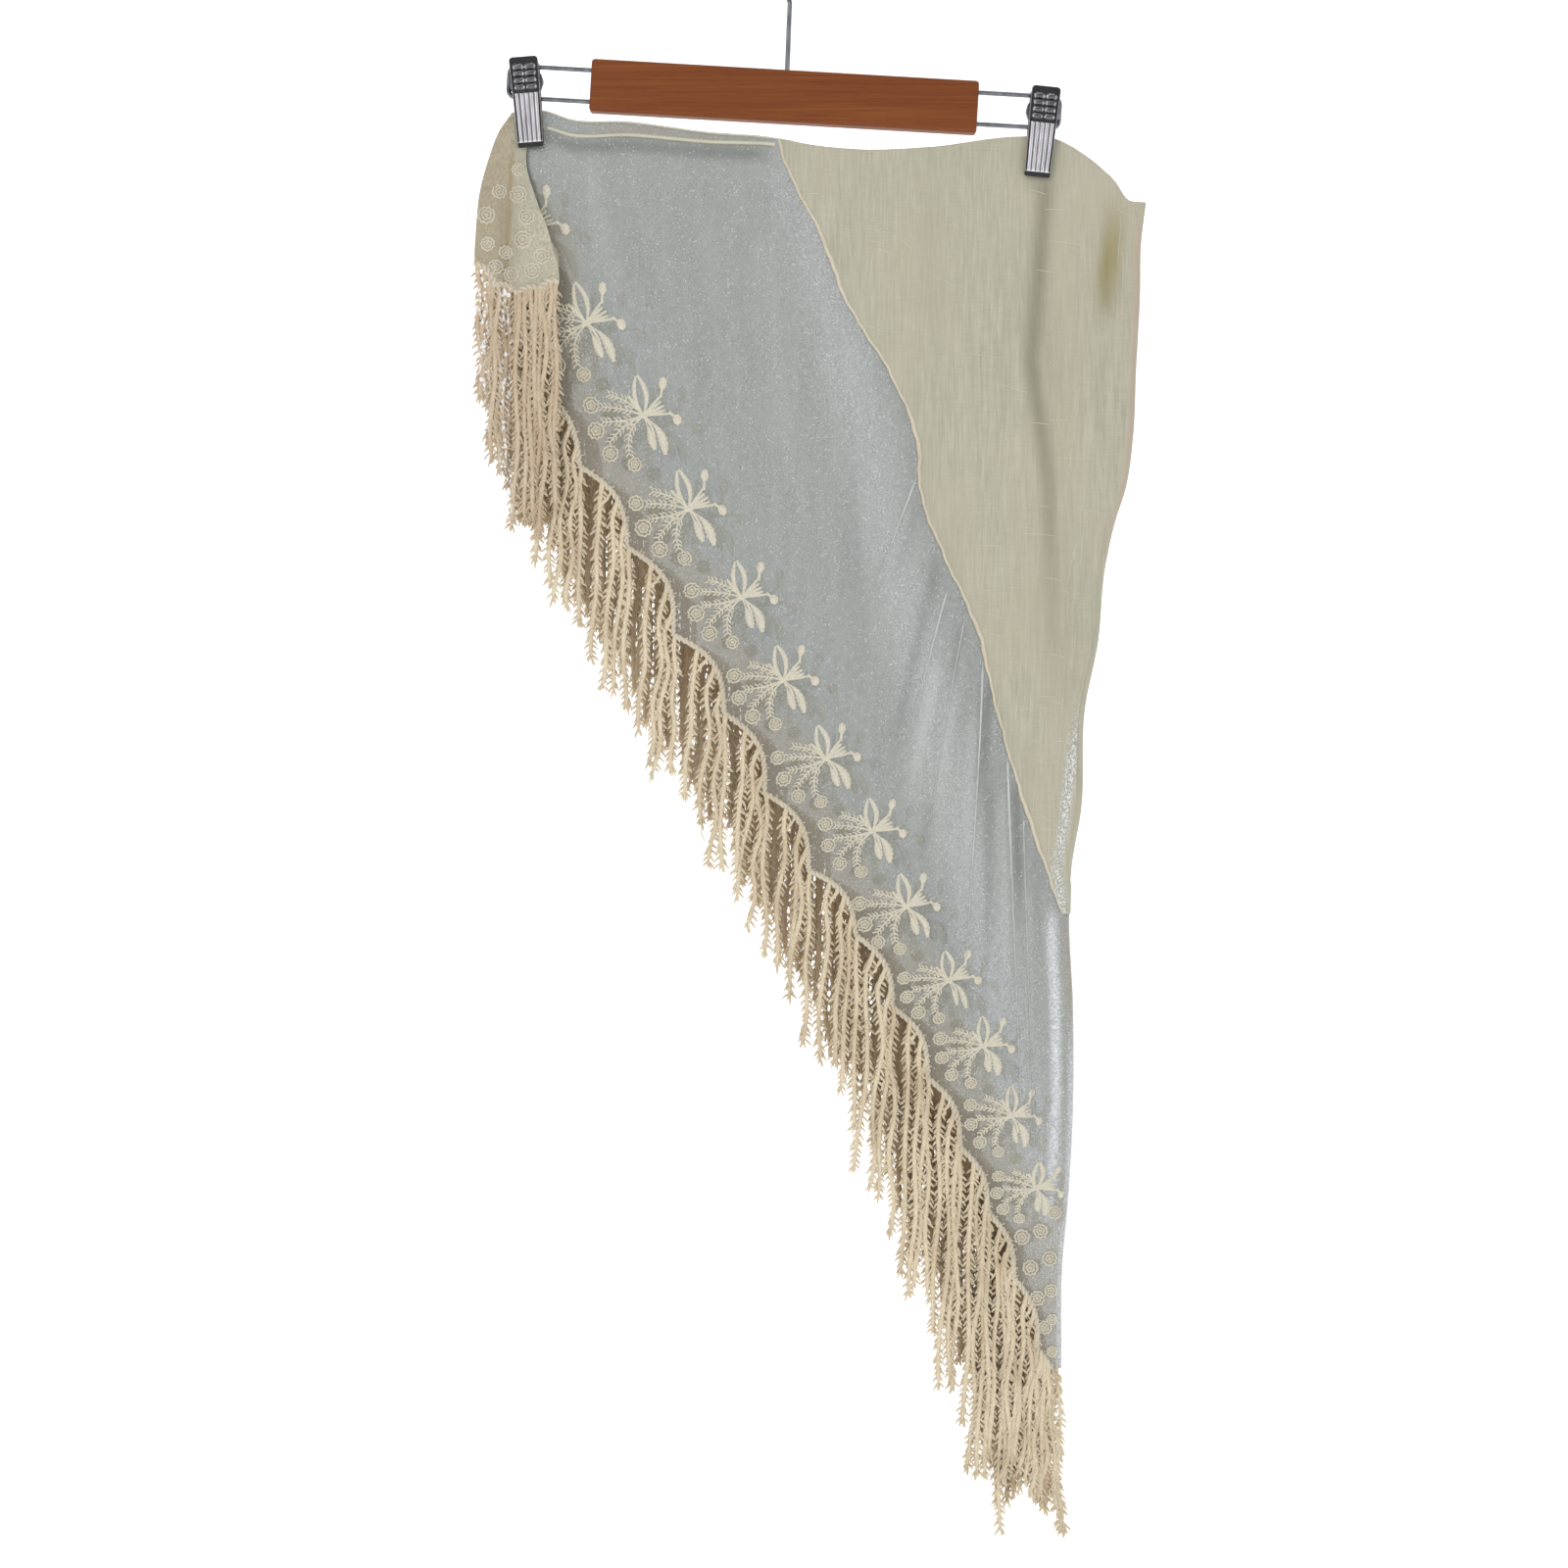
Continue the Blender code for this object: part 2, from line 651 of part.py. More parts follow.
def wire_route(side):
    """The U of one wire, in the bar's frame: in from the bar, round the bend, and back."""
    start = side * (BAR_LENGTH / 2 - WIRE_IN_BAR)
    bend = side * (WIRE_REACH - WIRE_CORNER)
    rise = WIRE_HALF_SPAN - WIRE_CORNER
    upper = arc(Vector((bend, 0, rise)), WIRE_CORNER, 90, 90 - side * 90, 4)
    lower = arc(Vector((bend, 0, -rise)), WIRE_CORNER, 90 - side * 90, 90 - side * 180, 4)
    first = Vector((start, 0, WIRE_HALF_SPAN))
    final = Vector((start, 0, -WIRE_HALF_SPAN))
    return [first, *upper, *lower, final]


def cutter(name, radius, length, place, turn, parent):
    """A round cutter, kept as a guide and left out of the part."""
    form = bmesh.new()
    bmesh.ops.create_cone(
        form, cap_ends=True, segments=8, radius1=radius * MM, radius2=radius * MM, depth=length * MM
    )
    mesh = bpy.data.meshes.new(name)
    form.to_mesh(mesh)
    form.free()
    obj = bpy.data.objects.new(name, mesh)
    bpy.context.scene.collection.objects.link(obj)
    obj.parent = parent
    obj.location = Vector(place) * MM
    obj.rotation_euler = turn
    obj.hide_render = True
    obj.display_type = "WIRE"
    return obj


def cut(target, tool):
    step = target.modifiers.new(tool.name, "BOOLEAN")
    step.operation = "DIFFERENCE"
    step.object = tool


def block(name, size, mat, parent, round_by):
    """A rounded block round its own middle."""
    form = bmesh.new()
    bmesh.ops.create_cube(form, size=1.0)
    bmesh.ops.scale(form, vec=Vector(size) * MM, verts=form.verts)
    mesh = bpy.data.meshes.new(name)
    form.to_mesh(mesh)
    form.free()
    obj = bpy.data.objects.new(name, mesh)
    bpy.context.scene.collection.objects.link(obj)
    obj.data.materials.append(mat)
    obj.parent = parent
    edge = obj.modifiers.new("rounded", "BEVEL")
    edge.width = round_by * MM
    edge.segments = 2
    return obj


def hanger(wood, steel):
    """Bar, wires and hook. The bar is drilled for each wire end and for the hook's stem."""
    frame = bpy.data.objects.new("hanger_frame", None)
    bpy.context.scene.collection.objects.link(frame)
    frame.location = BAR_CENTRE * MM
    frame.rotation_euler = (0.0, BAR_TILT, 0.0)
    bar = block("hanger_bar", (BAR_LENGTH, BAR_DEPTH, BAR_HEIGHT), wood, frame, BAR_ROUND)
    across = (0.0, math.radians(90), 0.0)
    for side, label in ((-1, "left"), (1, "right")):
        wire("wire_" + label, wire_route(side), WIRE_RADIUS, steel, frame)
        for level in (-1, 1):
            tool = cutter(
                f"bore_{label}_{level}",
                WIRE_RADIUS + BORE_SLACK,
                2 * (WIRE_IN_BAR + 1.0),
                (side * BAR_LENGTH / 2, 0.0, level * WIRE_HALF_SPAN),
                across,
                frame,
            )
            cut(bar, tool)
    stem_room = BAR_CENTRE.z + BAR_HEIGHT / 2 - HOOK_STEM_FOOT.z + 2.0
    place = (HOOK_STEM_FOOT.x, 0.0, BAR_CENTRE.z + BAR_HEIGHT / 2)
    cut(bar, cutter("bore_hook", HOOK_RADIUS + 0.8, 2 * stem_room, place, (0, 0, 0), None))
    hook(steel)
    return frame


def jaw_out(z, tip_out):
    """Distance of a jaw's inner face from the middle plane."""
    if z > JAW_KNEE_Z:
        return mix(JAW_KNEE_OUT, JAW_TOP_OUT, (z - JAW_KNEE_Z) / (JAW_HALF_LENGTH - JAW_KNEE_Z))
    return mix(JAW_KNEE_OUT, tip_out, (JAW_KNEE_Z - z) / (JAW_KNEE_Z + JAW_HALF_LENGTH))


def jaw(name, side, tip_out, mat, parent):
    """A pressed plate: two rows of round bumps on the grip, ribs down to the tip."""
    columns = 12
    levels = [-JAW_HALF_LENGTH, -JAW_HALF_LENGTH + 1.5, JAW_KNEE_Z - 2.0, JAW_KNEE_Z]
    grip = JAW_HALF_LENGTH - JAW_KNEE_Z
    levels += [JAW_KNEE_Z + grip * (i + 1) / (2 * BUMP_ROWS) for i in range(2 * BUMP_ROWS)]
    points = []
    for r, z in enumerate(levels):
        share = (z + JAW_HALF_LENGTH) / (2 * JAW_HALF_LENGTH)
        half = mix(JAW_TIP_WIDTH, JAW_TOP_WIDTH, share) / 2
        for c in range(columns + 1):
            rise = 0.0
            if 1 <= r <= 2 and c % 2:
                rise = RIB_RISE
            if r > 3 and r % 2 == 0:
                rise = BUMP_RISE * abs(math.sin(math.pi * 2 * c / columns))
            out = jaw_out(z, tip_out) + JAW_PLATE + rise
            points.append((mix(-half, half, c / columns), side * out, z))
    width = columns + 1
    count = len(levels)
    faces = []
    for r in range(count - 1):
        for c in range(columns):
            a = r * width + c
            faces.append((a, a + 1, a + 1 + width, a + width))
    rim = [c for c in range(columns)]
    rim += [r * width + columns for r in range(count - 1)]
    rim += [(count - 1) * width + c for c in range(columns, 0, -1)]
    rim += [r * width for r in range(count - 1, 0, -1)]
    inner = {}
    for i in rim:
        x, _, z = points[i]
        inner[i] = len(points)
        points.append((x, side * jaw_out(z, tip_out), z))
    for a, b in zip(rim, rim[1:] + rim[:1]):
        faces.append((a, b, inner[b], inner[a]))
    knee = 3
    low = [i for i in rim if i // width <= knee]
    high = [i for i in rim if i // width >= knee]
    faces.append(tuple(inner[i] for i in low))
    faces.append(tuple(inner[i] for i in high))
    obj = add_mesh(name, points, faces, mat)
    obj.parent = parent
    return obj


def pad(name, side, face_out, mat, parent):
    """A rubber pad inside a jaw's tip, a fit gap off the jaw and off the cloth."""
    size = (JAW_TIP_WIDTH - 1.0, PAD_THICK - FIT_GAP, PAD_HEIGHT)
    obj = block(name, size, mat, parent, 0.3)
    middle = side * (face_out + size[1] / 2) * MM
    obj.location = (0.0, middle, (-JAW_HALF_LENGTH + PAD_HEIGHT / 2) * MM)
    return obj


def core(name, clip, mat, frame):
    """The wedge between the jaws that rides on both runs of the wire."""
    half = WIRE_HALF_SPAN + WIRE_RADIUS + FIT_GAP + 1.0
    knee = -half / 2
    profile = (
        (-CORE_OUT_LOW, -half),
        (CORE_OUT_LOW, -half),
        (CORE_OUT_LOW, knee),
        (CORE_OUT_TOP, half),
        (-CORE_OUT_TOP, half),
        (-CORE_OUT_LOW, knee),
    )
    count = len(profile)
    points = [(x, y, z) for x in (-CORE_WIDTH / 2, CORE_WIDTH / 2) for y, z in profile]
    faces = [tuple(range(count)), tuple(range(2 * count - 1, count - 1, -1))]
    for i in range(count):
        j = (i + 1) % count
        faces.append((i, j, j + count, i + count))
    obj = add_mesh(name, points, faces, mat, smooth=False)
    along = (clip.x - BAR_CENTRE.x) / math.cos(BAR_TILT)
    obj.parent = frame
    obj.location = (along * MM, 0.0, 0.0)
    for level in (-1, 1):
        tool = cutter(
            f"{name}_bore_{level}",
            WIRE_RADIUS + BORE_SLACK,
            CORE_WIDTH + 4.0,
            (along, 0.0, level * WIRE_HALF_SPAN),
            (0.0, math.radians(90), 0.0),
            frame,
        )
        cut(obj, tool)
    return obj


def clips(frame, chrome, rubber):
    for clip in CLIPS:
        stand = bpy.data.objects.new(clip.name + "_frame", None)
        bpy.context.scene.collection.objects.link(stand)
        stand.location = Vector((clip.x, 0.0, clip.z)) * MM
        stand.rotation_euler = (0.0, clip.lean, 0.0)
        cloth_out = PINCH + WALL / 2 + (clip.layers / 2 - 1) * LAYER_STEP
        face_out = cloth_out + FIT_GAP
        tip_out = face_out + PAD_THICK
        core(clip.name + "_core", clip, chrome, frame)
        for side, label in ((-1, "front"), (1, "back")):
            jaw(f"{clip.name}_jaw_{label}", side, tip_out, chrome, stand)
            pad(f"{clip.name}_pad_{label}", side, face_out, rubber, stand)


def main():
    clear_scene()
    wood = material("wood", (0.46, 0.17, 0.06), 0.45)
    steel = material("steel", (0.62, 0.63, 0.65), 0.25, 1.0)
    chrome = material("chrome", (0.70, 0.71, 0.73), 0.15, 1.0)
    rubber = material("rubber", (0.03, 0.03, 0.035), 0.7)
    woven = material("woven", (0.62, 0.59, 0.42), 0.85)
    net = material("net", (0.42, 0.46, 0.46), 0.75)
    yarn = material("yarn", (0.76, 0.66, 0.50), 0.9)
    frame = hanger(wood, steel)
    clips(frame, chrome, rubber)
    woven_panel(woven)
    net_panel(net)
    turned_end("end_front", -1, 0.0, 0.0, net)
    turned_end("end_back", 1, END_BACK_SHIFT_X, END_BACK_SHIFT_Z, net)
    fringed = HEM[FIRST_FRINGED:]
    back_fringed = shifted(HEM, BACK_SHIFT_X, BACK_SHIFT_Z)[FIRST_FRINGED:]
    fringe("fringe_front", fringed, front_y, 2.2, yarn, bundle=True)
    fringe("fringe_back", back_fringed, back_y, 2.2, yarn)
    fringe("fringe_end_front", end_lobes(0.0, 0.0), lambda x, z: end_y(x, z, -1), 0.0, yarn)
    back_end = end_lobes(END_BACK_SHIFT_X, END_BACK_SHIFT_Z)
    fringe("fringe_end_back", back_end, lambda x, z: end_y(x, z, 1), 0.0, yarn)


main()
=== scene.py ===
"""Looks of a triangle scarf, folded in half and hung from a wooden clip hanger.

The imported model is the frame. Lengths in the tables are millimetres and become metres when a
mesh is made. +Z is up, -Y faces the viewer, and the origin is the top of the rail space inside
the hook. The tables and depth functions of the cloth are those of the part's own source.
"""

import math
import random
from collections import namedtuple
from functools import partial

import bmesh
import bpy
import numpy as np
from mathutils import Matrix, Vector, noise


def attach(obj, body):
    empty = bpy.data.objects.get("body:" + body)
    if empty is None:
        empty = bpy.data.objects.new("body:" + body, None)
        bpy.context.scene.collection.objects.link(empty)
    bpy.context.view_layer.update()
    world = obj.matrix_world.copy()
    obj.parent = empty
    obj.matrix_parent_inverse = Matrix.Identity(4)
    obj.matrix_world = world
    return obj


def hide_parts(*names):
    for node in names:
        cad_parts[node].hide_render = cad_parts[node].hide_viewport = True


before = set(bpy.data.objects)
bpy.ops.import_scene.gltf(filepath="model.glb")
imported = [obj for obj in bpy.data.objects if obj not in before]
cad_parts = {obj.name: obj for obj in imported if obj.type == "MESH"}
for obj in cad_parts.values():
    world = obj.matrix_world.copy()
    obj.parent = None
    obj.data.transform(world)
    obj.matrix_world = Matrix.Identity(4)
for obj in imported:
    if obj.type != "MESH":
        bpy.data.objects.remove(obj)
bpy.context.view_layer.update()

MM = 0.001

SIDE_NAMES = {-1: "front", 1: "back"}

Place = namedtuple("Place", "x z")


def table(columns, *rows):
    """Rows of values under the names of their columns."""
    row = namedtuple("Row", columns)
    return tuple(row(*values) for values in rows)


# Cloth
WALL = 1.3  # the solid's cloth wall, which the outline of the fold allows for
THIN = 0.6  # wall of the cloth shown here
SEAM_GAP = 0.4  # between net and woven cloth, under the seam's cord
POINT_LIFT = 0.75  # of the woven point over the net at its foot
FIT_GAP = 0.3  # between pieces that touch
PINCH = 0.8  # half the distance between the two layers where a clip holds them
LAYER_STEP = WALL + FIT_GAP
LAYERS_CLEAR = 2 * PINCH
STATIONS = 6  # of the solid's fringe in each scallop, which set how the lengths vary
BACK_SHIFT = Place(12.8, -6.4)  # of the back layer's hem against the front's
FINE = 10  # cloth rows to a scallop
NET_ACROSS = 92  # cells across the net
NET_SPREAD = 8  # columns that widen below the woven cloth's foot
NET_WIDENS = 120  # the height over which they do
FOLD_FROM_HEM = 60  # counts as far from the hem in the net's tones
WOVEN_ACROSS = 58
WOVEN_CROWD = 1.25  # how much closer its columns are at the fold
POINT_DROPS = (1, 5, 9, 13, 17, 20, 22)  # rows of the woven point below its foot
WEAVE_LEAN = math.radians(5)
RIPPLE = 0.5  # unevenness of hanging cloth

# Hanger and clips
BAR_CENTRE = Vector((-3.1, 0, -118.1))
BAR_TILT = math.radians(3.3)
JAW_HALF_LENGTH = 29
JAW_TOP_WIDTH = 19
JAW_TIP_WIDTH = 16.5
JAW_PLATE = 1.2
JAW_CELLS = (52, 84)  # across and along
JAW_TOP_OUT = 9
JAW_KNEE_Z = 7
JAW_KNEE_OUT = 6.2
RIBS = 5
RIB_RISE = 0.9
BUMP_ROWS = 4
BUMP_COLUMNS = 2
BUMP_RISE = 1.3
BUMP_PITCH = 4.3
PAD_THICK = 2
BARREL_REACH = 11.6
BARREL_RADIUS = 7
COIL_TURNS = 4.5
COIL_REACH = 6.5
COIL_RADIUS = 4.4
COIL_DROP = 14

# Lobes of the front hem from the left clip to the point: place, how far the hem bows in
# before the next lobe as a share of their distance, and the length of the strands
HEM = table(
    "x z bow strand",
    (-176, -129, 0.00, 0), (-190, -162, 0.03, 0), (-187.5, -208, 0.05, 0), (-176, -258, 0.10, 112),
    (-161.3, -308.6, 0.12, 116), (-136.3, -359.8, 0.17, 106), (-105.6, -412.3, 0.19, 112),
    (-75.5, -469.3, 0.19, 96), (-42.2, -520.5, 0.18, 103), (-16, -572.3, 0.18, 97),
    (12.8, -622.9, 0.18, 102), (43.5, -665.1, 0.16, 124), (67.2, -711.8, 0.16, 150),
    (90.2, -757.9, 0.15, 152), (111.4, -803.4, 0.14, 172), (129.3, -845.6, 0.13, 178),
    (146.6, -888.5, 0.12, 124), (161.9, -935.8, 0.04, 92), (171.5, -948.5, 0.00, 0),
)

# Hem of a turned-down end, left to right
END_HEM = table(
    "x z bow strand",
    (-204.2, -228.6, 0.16, 84), (-190.7, -242.7, 0.16, 112), (-176, -247.8, 0.16, 146),
    (-161.9, -245.3, 0.16, 150), (-149.1, -240.2, 0.00, 0),
)
# Side edges of a turned-down end
END_SIDES = table(
    "z left right",
    (-128.5, -180.5, -166.4), (-141.6, -188.8, -169), (-158, -194.6, -171.5),
    (-185.8, -201, -164.5), (-208.2, -202.9, -156), (-240, -204.2, -149.1),
)
END_BACK_SHIFT = Place(7, -9)  # of the back end against the front one
END_FINE = 9  # columns to a scallop
END_ROWS = 44
END_SWELL_TOP = -154
END_SWELL_FOOT = -205
END_SWELL = 9.5
END_VALLEY_X = -182
END_VALLEY_HALF = 9
END_VALLEY_DEEP = 5

# Outline of the folded cloth, place by place
TOP_EDGE = table(
    "x z",
    (-176, -129), (-160, -127), (-142.7, -132.4), (-105.6, -134.2), (-53.8, -141), (-6.4, -145.4),
    (8, -148.6), (46, -152.8), (94.1, -150.9), (149.8, -144.2), (172, -145), (189, -153.5),
    (204, -165), (213, -174), (219, -183.5), (233.6, -187),
)
SEAM = table(
    "x z",
    (-6.4, -145.4), (-3.5, -157), (22.4, -211.4), (38.4, -253), (65.9, -298.4), (83.2, -339.4),
    (87, -381), (99.2, -413), (124.8, -470.6), (132.5, -505.8), (144.6, -550.6), (160, -598.6),
    (170.2, -628), (178, -650),
)
FOLD_EDGE = table(
    "x z",
    (233.6, -187), (230.4, -214.6), (229.8, -246.6), (227.2, -296.5), (225.3, -339.4),
    (220.2, -374.6), (213.6, -395), (207, -425.1), (202.2, -475), (193.9, -516.6), (191.4, -582.6),
    (184.8, -623.5), (183.7, -652.3), (186.2, -713.1), (186.2, -778.4), (183, -837.9),
    (179.2, -880.8), (178.5, -948),
)
WOVEN_POINT_Z = -640

# Half the distance between the layers, away from the clips
DRAPE = table(
    "z half",
    (-125, 1.5), (-165, 3.2), (-250, 5.6), (-500, 6), (-800, 4.2), (-950, 1.7),
)
CLIP_FLAT = 15
CLIP_FADE = 105

# Folds of the cloth: a line from head to foot, its half width, and its depth to the back
# (a ridge towards the viewer is negative)
FRONT_FOLDS = table(
    "head_x head_z foot_x foot_z half deep",
    (166, -172, 180, -390, 9, 4), (212, -176, 209, -268, 8, 7), (196, -172, 196, -380, 11, -4),
    (144, -175, 160, -560, 16, -3), (206, -350, 178, -620, 9, -2.5), (97, -400, 74, -560, 12, -3),
    (128, -490, 118, -760, 11, -3.5), (110, -470, 92, -700, 12, 2.5), (150, -580, 152, -820, 9, -3),
    (-150, -160, -20, -380, 26, -3), (20, -240, 30, -560, 30, -2.5),
)
BACK_FOLDS = table(
    "head_x head_z foot_x foot_z half deep",
    (170, -180, 150, -430, 14, 4), (212, -168, 205, -300, 18, 5.5),
    (120, -200, 110, -520, 18, -2.5), (104, -430, 96, -740, 13, 4), (146, -560, 146, -800, 10, 3),
    (-140, -170, -10, -420, 28, 3.5), (30, -230, 40, -520, 26, 3),
)
# Narrow creases that only the looks have. Those of the net start at the seam.
CREASES = table(
    "head_x head_z foot_x foot_z half deep",
    (84.5, -360, 58, -440, 4, -1.5), (92, -370, 70, -470, 3.5, 1.2), (97, -404, 78, -500, 4, -1.6),
    (112, -440, 96, -560, 4.5, 1.4), (122, -470, 108, -620, 4.5, -1.6),
    (129, -492, 117, -640, 4, -1.8), (134, -520, 130, -700, 4, 1.5),
    (142, -548, 153, -770, 4, -1.6), (152, -575, 162, -800, 4, 1.3),
    (160, -600, 170, -820, 3.5, -1.2), (104, -560, 104, -760, 6, -1.2),
    (-120, -150, -60, -300, 12, 1.2), (-70, -150, -20, -330, 14, -1.2), (40, -170, 64, -290, 9, 1),
    (80, -165, 96, -330, 12, -1.4), (118, -165, 128, -400, 9, 1.4), (180, -260, 176, -480, 8, -1.6),
    (186, -400, 180, -600, 6, 1.6),
)
FOLD_FADE = 0.22
FOLD_BEND = 7

# Fine bright creases of the net, each a ridge through three places, thinning to its foot
RIDGES = table(
    "head_x head_z mid_x mid_z foot_x foot_z half",
    (83.6, -366, 72.3, -395.5, 60.8, -427, 0.65), (95, -410, 90.5, -417, 86, -430, 0.45),
    (103.3, -440, 93, -478, 77, -540, 0.75), (114.6, -459, 106, -505, 92, -590, 0.5),
    (126.2, -488, 123.5, -550, 115.5, -680, 0.75), (142.2, -548, 144.8, -618, 151, -770, 0.75),
    (153.6, -594, 153.8, -630, 160, -800, 0.55),
)

# Soft shading of the net along its folds: more than zero is darker, less is lighter
SHADES = table(
    "head_x head_z foot_x foot_z half deep",
    (85.8, -379, 64, -446, 5.5, 0.47), (98.6, -412, 62, -570, 6, 0.72),
    (114.6, -462, 103, -510, 4.5, 0.42), (130, -494, 124, -600, 6, 0.72),
    (131, -560, 129, -710, 5.5, 0.51), (147.8, -560, 150.5, -670, 5, 0.81),
    (92.6, -576, 83, -630, 4.5, 0.47), (160.5, -606, 163, -680, 4, 0.26),
    (80, -385, 60, -450, 6, -0.14), (98, -480, 74, -600, 7.5, -0.31),
    (108, -500, 93, -600, 6.5, -0.22), (121, -515, 115, -660, 7, -0.28),
    (139.5, -565, 143, -720, 6, -0.25), (154.5, -625, 159, -790, 6, -0.22),
    (-134, -150, -96, -330, 12, -0.10), (-70, -160, -46, -420, 13, 0.10),
    (-20, -190, 10, -430, 13, -0.09), (40, -300, 44, -520, 12, 0.12),
)

CLIPS = table(
    "name x z lean tip_z tip_x layers",
    ("clip_left", -170.6, -122.4, math.radians(-4.7), -146, -168.4, 4),
    ("clip_right", 164.7, -141.6, math.radians(6), -165, 162.2, 2),
)

# Knots of the bows along the hem, from the left clip down, and the pitch of the full-size bow
KNOTS = table(
    "x z",
    (-169, -203), (-131.8, -266.4), (-94.7, -326.6), (-65.3, -387.4), (-30.7, -445), (-3.6, -499),
    (24.3, -550), (54.4, -597.3), (76.8, -646.6), (104.3, -694.6), (126.7, -737.4), (145.3, -782.9),
    (161.3, -830.2), (171, -872),
)
BOW_PITCH = 67.6
MOTIF_SHIFT = Place(12, -5)  # of the back layer's motifs against the front's

# The bow in its own frame: "along" runs to the next knot and "across" to the inside.
# Leaves start at the knot; bulge is how far they curve to the inside.
LEAVES = table(
    "along across bulge half stem",
    (-25.6, 7.9, 4, 1.75, 0), (-25.2, 6.6, -3.2, 1.45, 0), (29.4, 2, 3.8, 3.3, 0.25),
    (23.4, -3.1, 0.3, 2.9, 0.35), (16, 0.6, 1, 1, 0), (-16.4, -3.8, 0, 1.35, 0.1),
)
# Petals of the bell beside the knot, side by side
BELL = table(
    "along across bulge half stem",
    (-6.6, 15.8, 0, 1, 0), (-3.4, 14.6, 0, 1, 0), (0, 15.4, 0, 1, 0), (3.2, 15, 0, 1, 0),
    (6.4, 16.6, 0, 1, 0),
)
STALKS = table(
    "from_along from_across along across half long turn",
    (-5.4, 15.4, -13.4, 21, 2.9, 4.6, 146), (5.2, 16.6, 12, 19.2, 3.2, 4, -18),
)
FERNS = table(
    "along across bulge",
    (-21.7, -14.5, 2), (-16.5, -22, 1.2), (-7.5, -26, -1.2), (6, -27.6, -2), (18.6, -19.6, -4.4),
)
ROSES = table(
    "along across radius",
    (-21, -28.6, 5.8), (-4.5, -33, 6.1), (12.9, -31, 5.9),
)
BUD = (26.3, -19.5, 5)  # along, across and radius

# Roses past the last bow, and those of a turned-down end, in the row frame
POINT_BLOOMS = table(
    "x z radius",
    (152, -862, 5.4), (164, -858, 5), (173.5, -846, 4.6), (157.5, -882, 5.4), (170, -876, 5.2),
    (162, -902, 5.2), (172.5, -897, 4.6), (167, -921, 4.8), (174, -916, 3.8), (172, -937, 3.8),
)
END_BLOOMS = table(
    "x z radius",
    (-196.5, -197, 6.2), (-195.5, -216, 5), (-190.5, -231, 5.2), (-176, -183, 6.4),
    (-170.5, -198, 5.8), (-172.8, -213, 6.2), (-160.5, -224, 5.6), (-166.5, -233.5, 5.8),
    (-180.5, -235.5, 5.6), (-188.5, -181, 5), (-184, -221, 4.8), (-176.5, -166, 4.6),
)
EDGE_MARGIN = 4

# Where the rolled edges start and end: along the net's and the woven cloth's top, down the fold
NET_ROLL = (-158, -9)
WOVEN_ROLL = (-3, 228)
FOLD_ROLL = (-189, -520)

EMBROIDERY_HIGH = 0.75  # half the thickness of a stitched form, through the net

# Yarn of the fringe
Yarn = namedtuple("Yarn", "half barb_step loose")
FRONT_YARN = Yarn(1.7, 3.7, 1)
BACK_YARN = Yarn(2, 5.6, 0.5)
BARB_LENGTH = 4.4
BARB_HALF = 0.84
BARB_DROP = math.radians(42)
STRAND_LEAN = 2.2
STRAND_STEP = 3.6
CORD_FINE = 16  # steps of a hem's cord to a scallop
FRONT_ROOTS = (0.02, 0.27, 0.52, 0.77)  # shares of a scallop at which its strands grow
BACK_STRANDS = 9  # in each scallop, evenly spaced across
END_BACK_STRANDS = 5
END_ROOTS = (0.10, 0.36, 0.62, 0.88)
# The short second leg beside a strand: how far aside as a share of the scallop, and its size
LEG_ASIDE = 0.14
LEG_LENGTH = 16
LEG_HALF = 1.2
# From root to foot: the long strand, the loose thread, and the bundle at the scarf's point
LONG_STRAND = (Place(141, -872), Place(137.6, -1053))
LOOSE_THREAD = ((-57.5, -6, -578), (-55.7, -6, -606))
BUNDLE = (Place(172, -946), Place(176.5, -1044))
BUNDLE_OFFSETS = (-3.2, 0, 3)

# Colours, as a screen shows them
CREAM = (232, 218, 190)
STITCH = (210, 203, 183)
STITCH_SHADE = (166, 158, 139)
CORD = (218, 209, 189)
CORD_SHADE = (172, 156, 128)
# Painted shade of the yarns, browner where strands are shaded
SHADOW_BROWN = (146, 112, 66)
END_BROWN = (158, 118, 68)
BACK_GLOW = 0.05

# Where the glints of the ends' fringe lie across, in metres
GLINT_START = -0.210
GLINT_SPAN = 0.050
GLINT_CHANCE = 0.72  # above it, a cell of the yarn glints
# Rows of glints along the span: where each starts and ends, and how strong it is there
GLINT_ROWS = (
    (0.14, 0), (0.20, 1), (0.27, 1), (0.33, 0), (0.43, 0), (0.49, 1), (0.57, 1), (0.63, 0),
)

# Stage, in metres: the wall stands so far back that it hides nothing in the views from behind
FLOOR_Z = -1.35
STAGE_HALF = 11
STAGE_FRONT = -5
WALL_Y = 3.4
WALL_TOP = 7.5
STAGE_GLOW = 0.6
STAGE_GREY = (0.86, 0.86, 0.86, 1)
WORLD_STRENGTH = 0.42
LAMPS = table(
    "name x y z size power",
    ("key", -1.3, -2.2, 0.9, 1.4, 22.4), ("fill", 1.9, -2, 0.1, 1.8, 10),
    ("top", 0.2, -0.4, 1.7, 1.2, 6.5),
)
LAMP_AIM = Vector((0, 0, -0.5))
CAMERA_PLACE = (-0.0032, -2.4, -0.5666)
CAMERA_SENSOR = 36
CAMERA_LENS = 84.375  # takes in the photo's width at the scarf


def srgb(red, green, blue):
    """A screen colour, 0 to 255, as the linear colour that a shader takes."""
    return tuple(
        c / 12.92 if c <= 0.04045 else ((c + 0.055) / 1.055) ** 2.4
        for c in (red / 255, green / 255, blue / 255)
    )


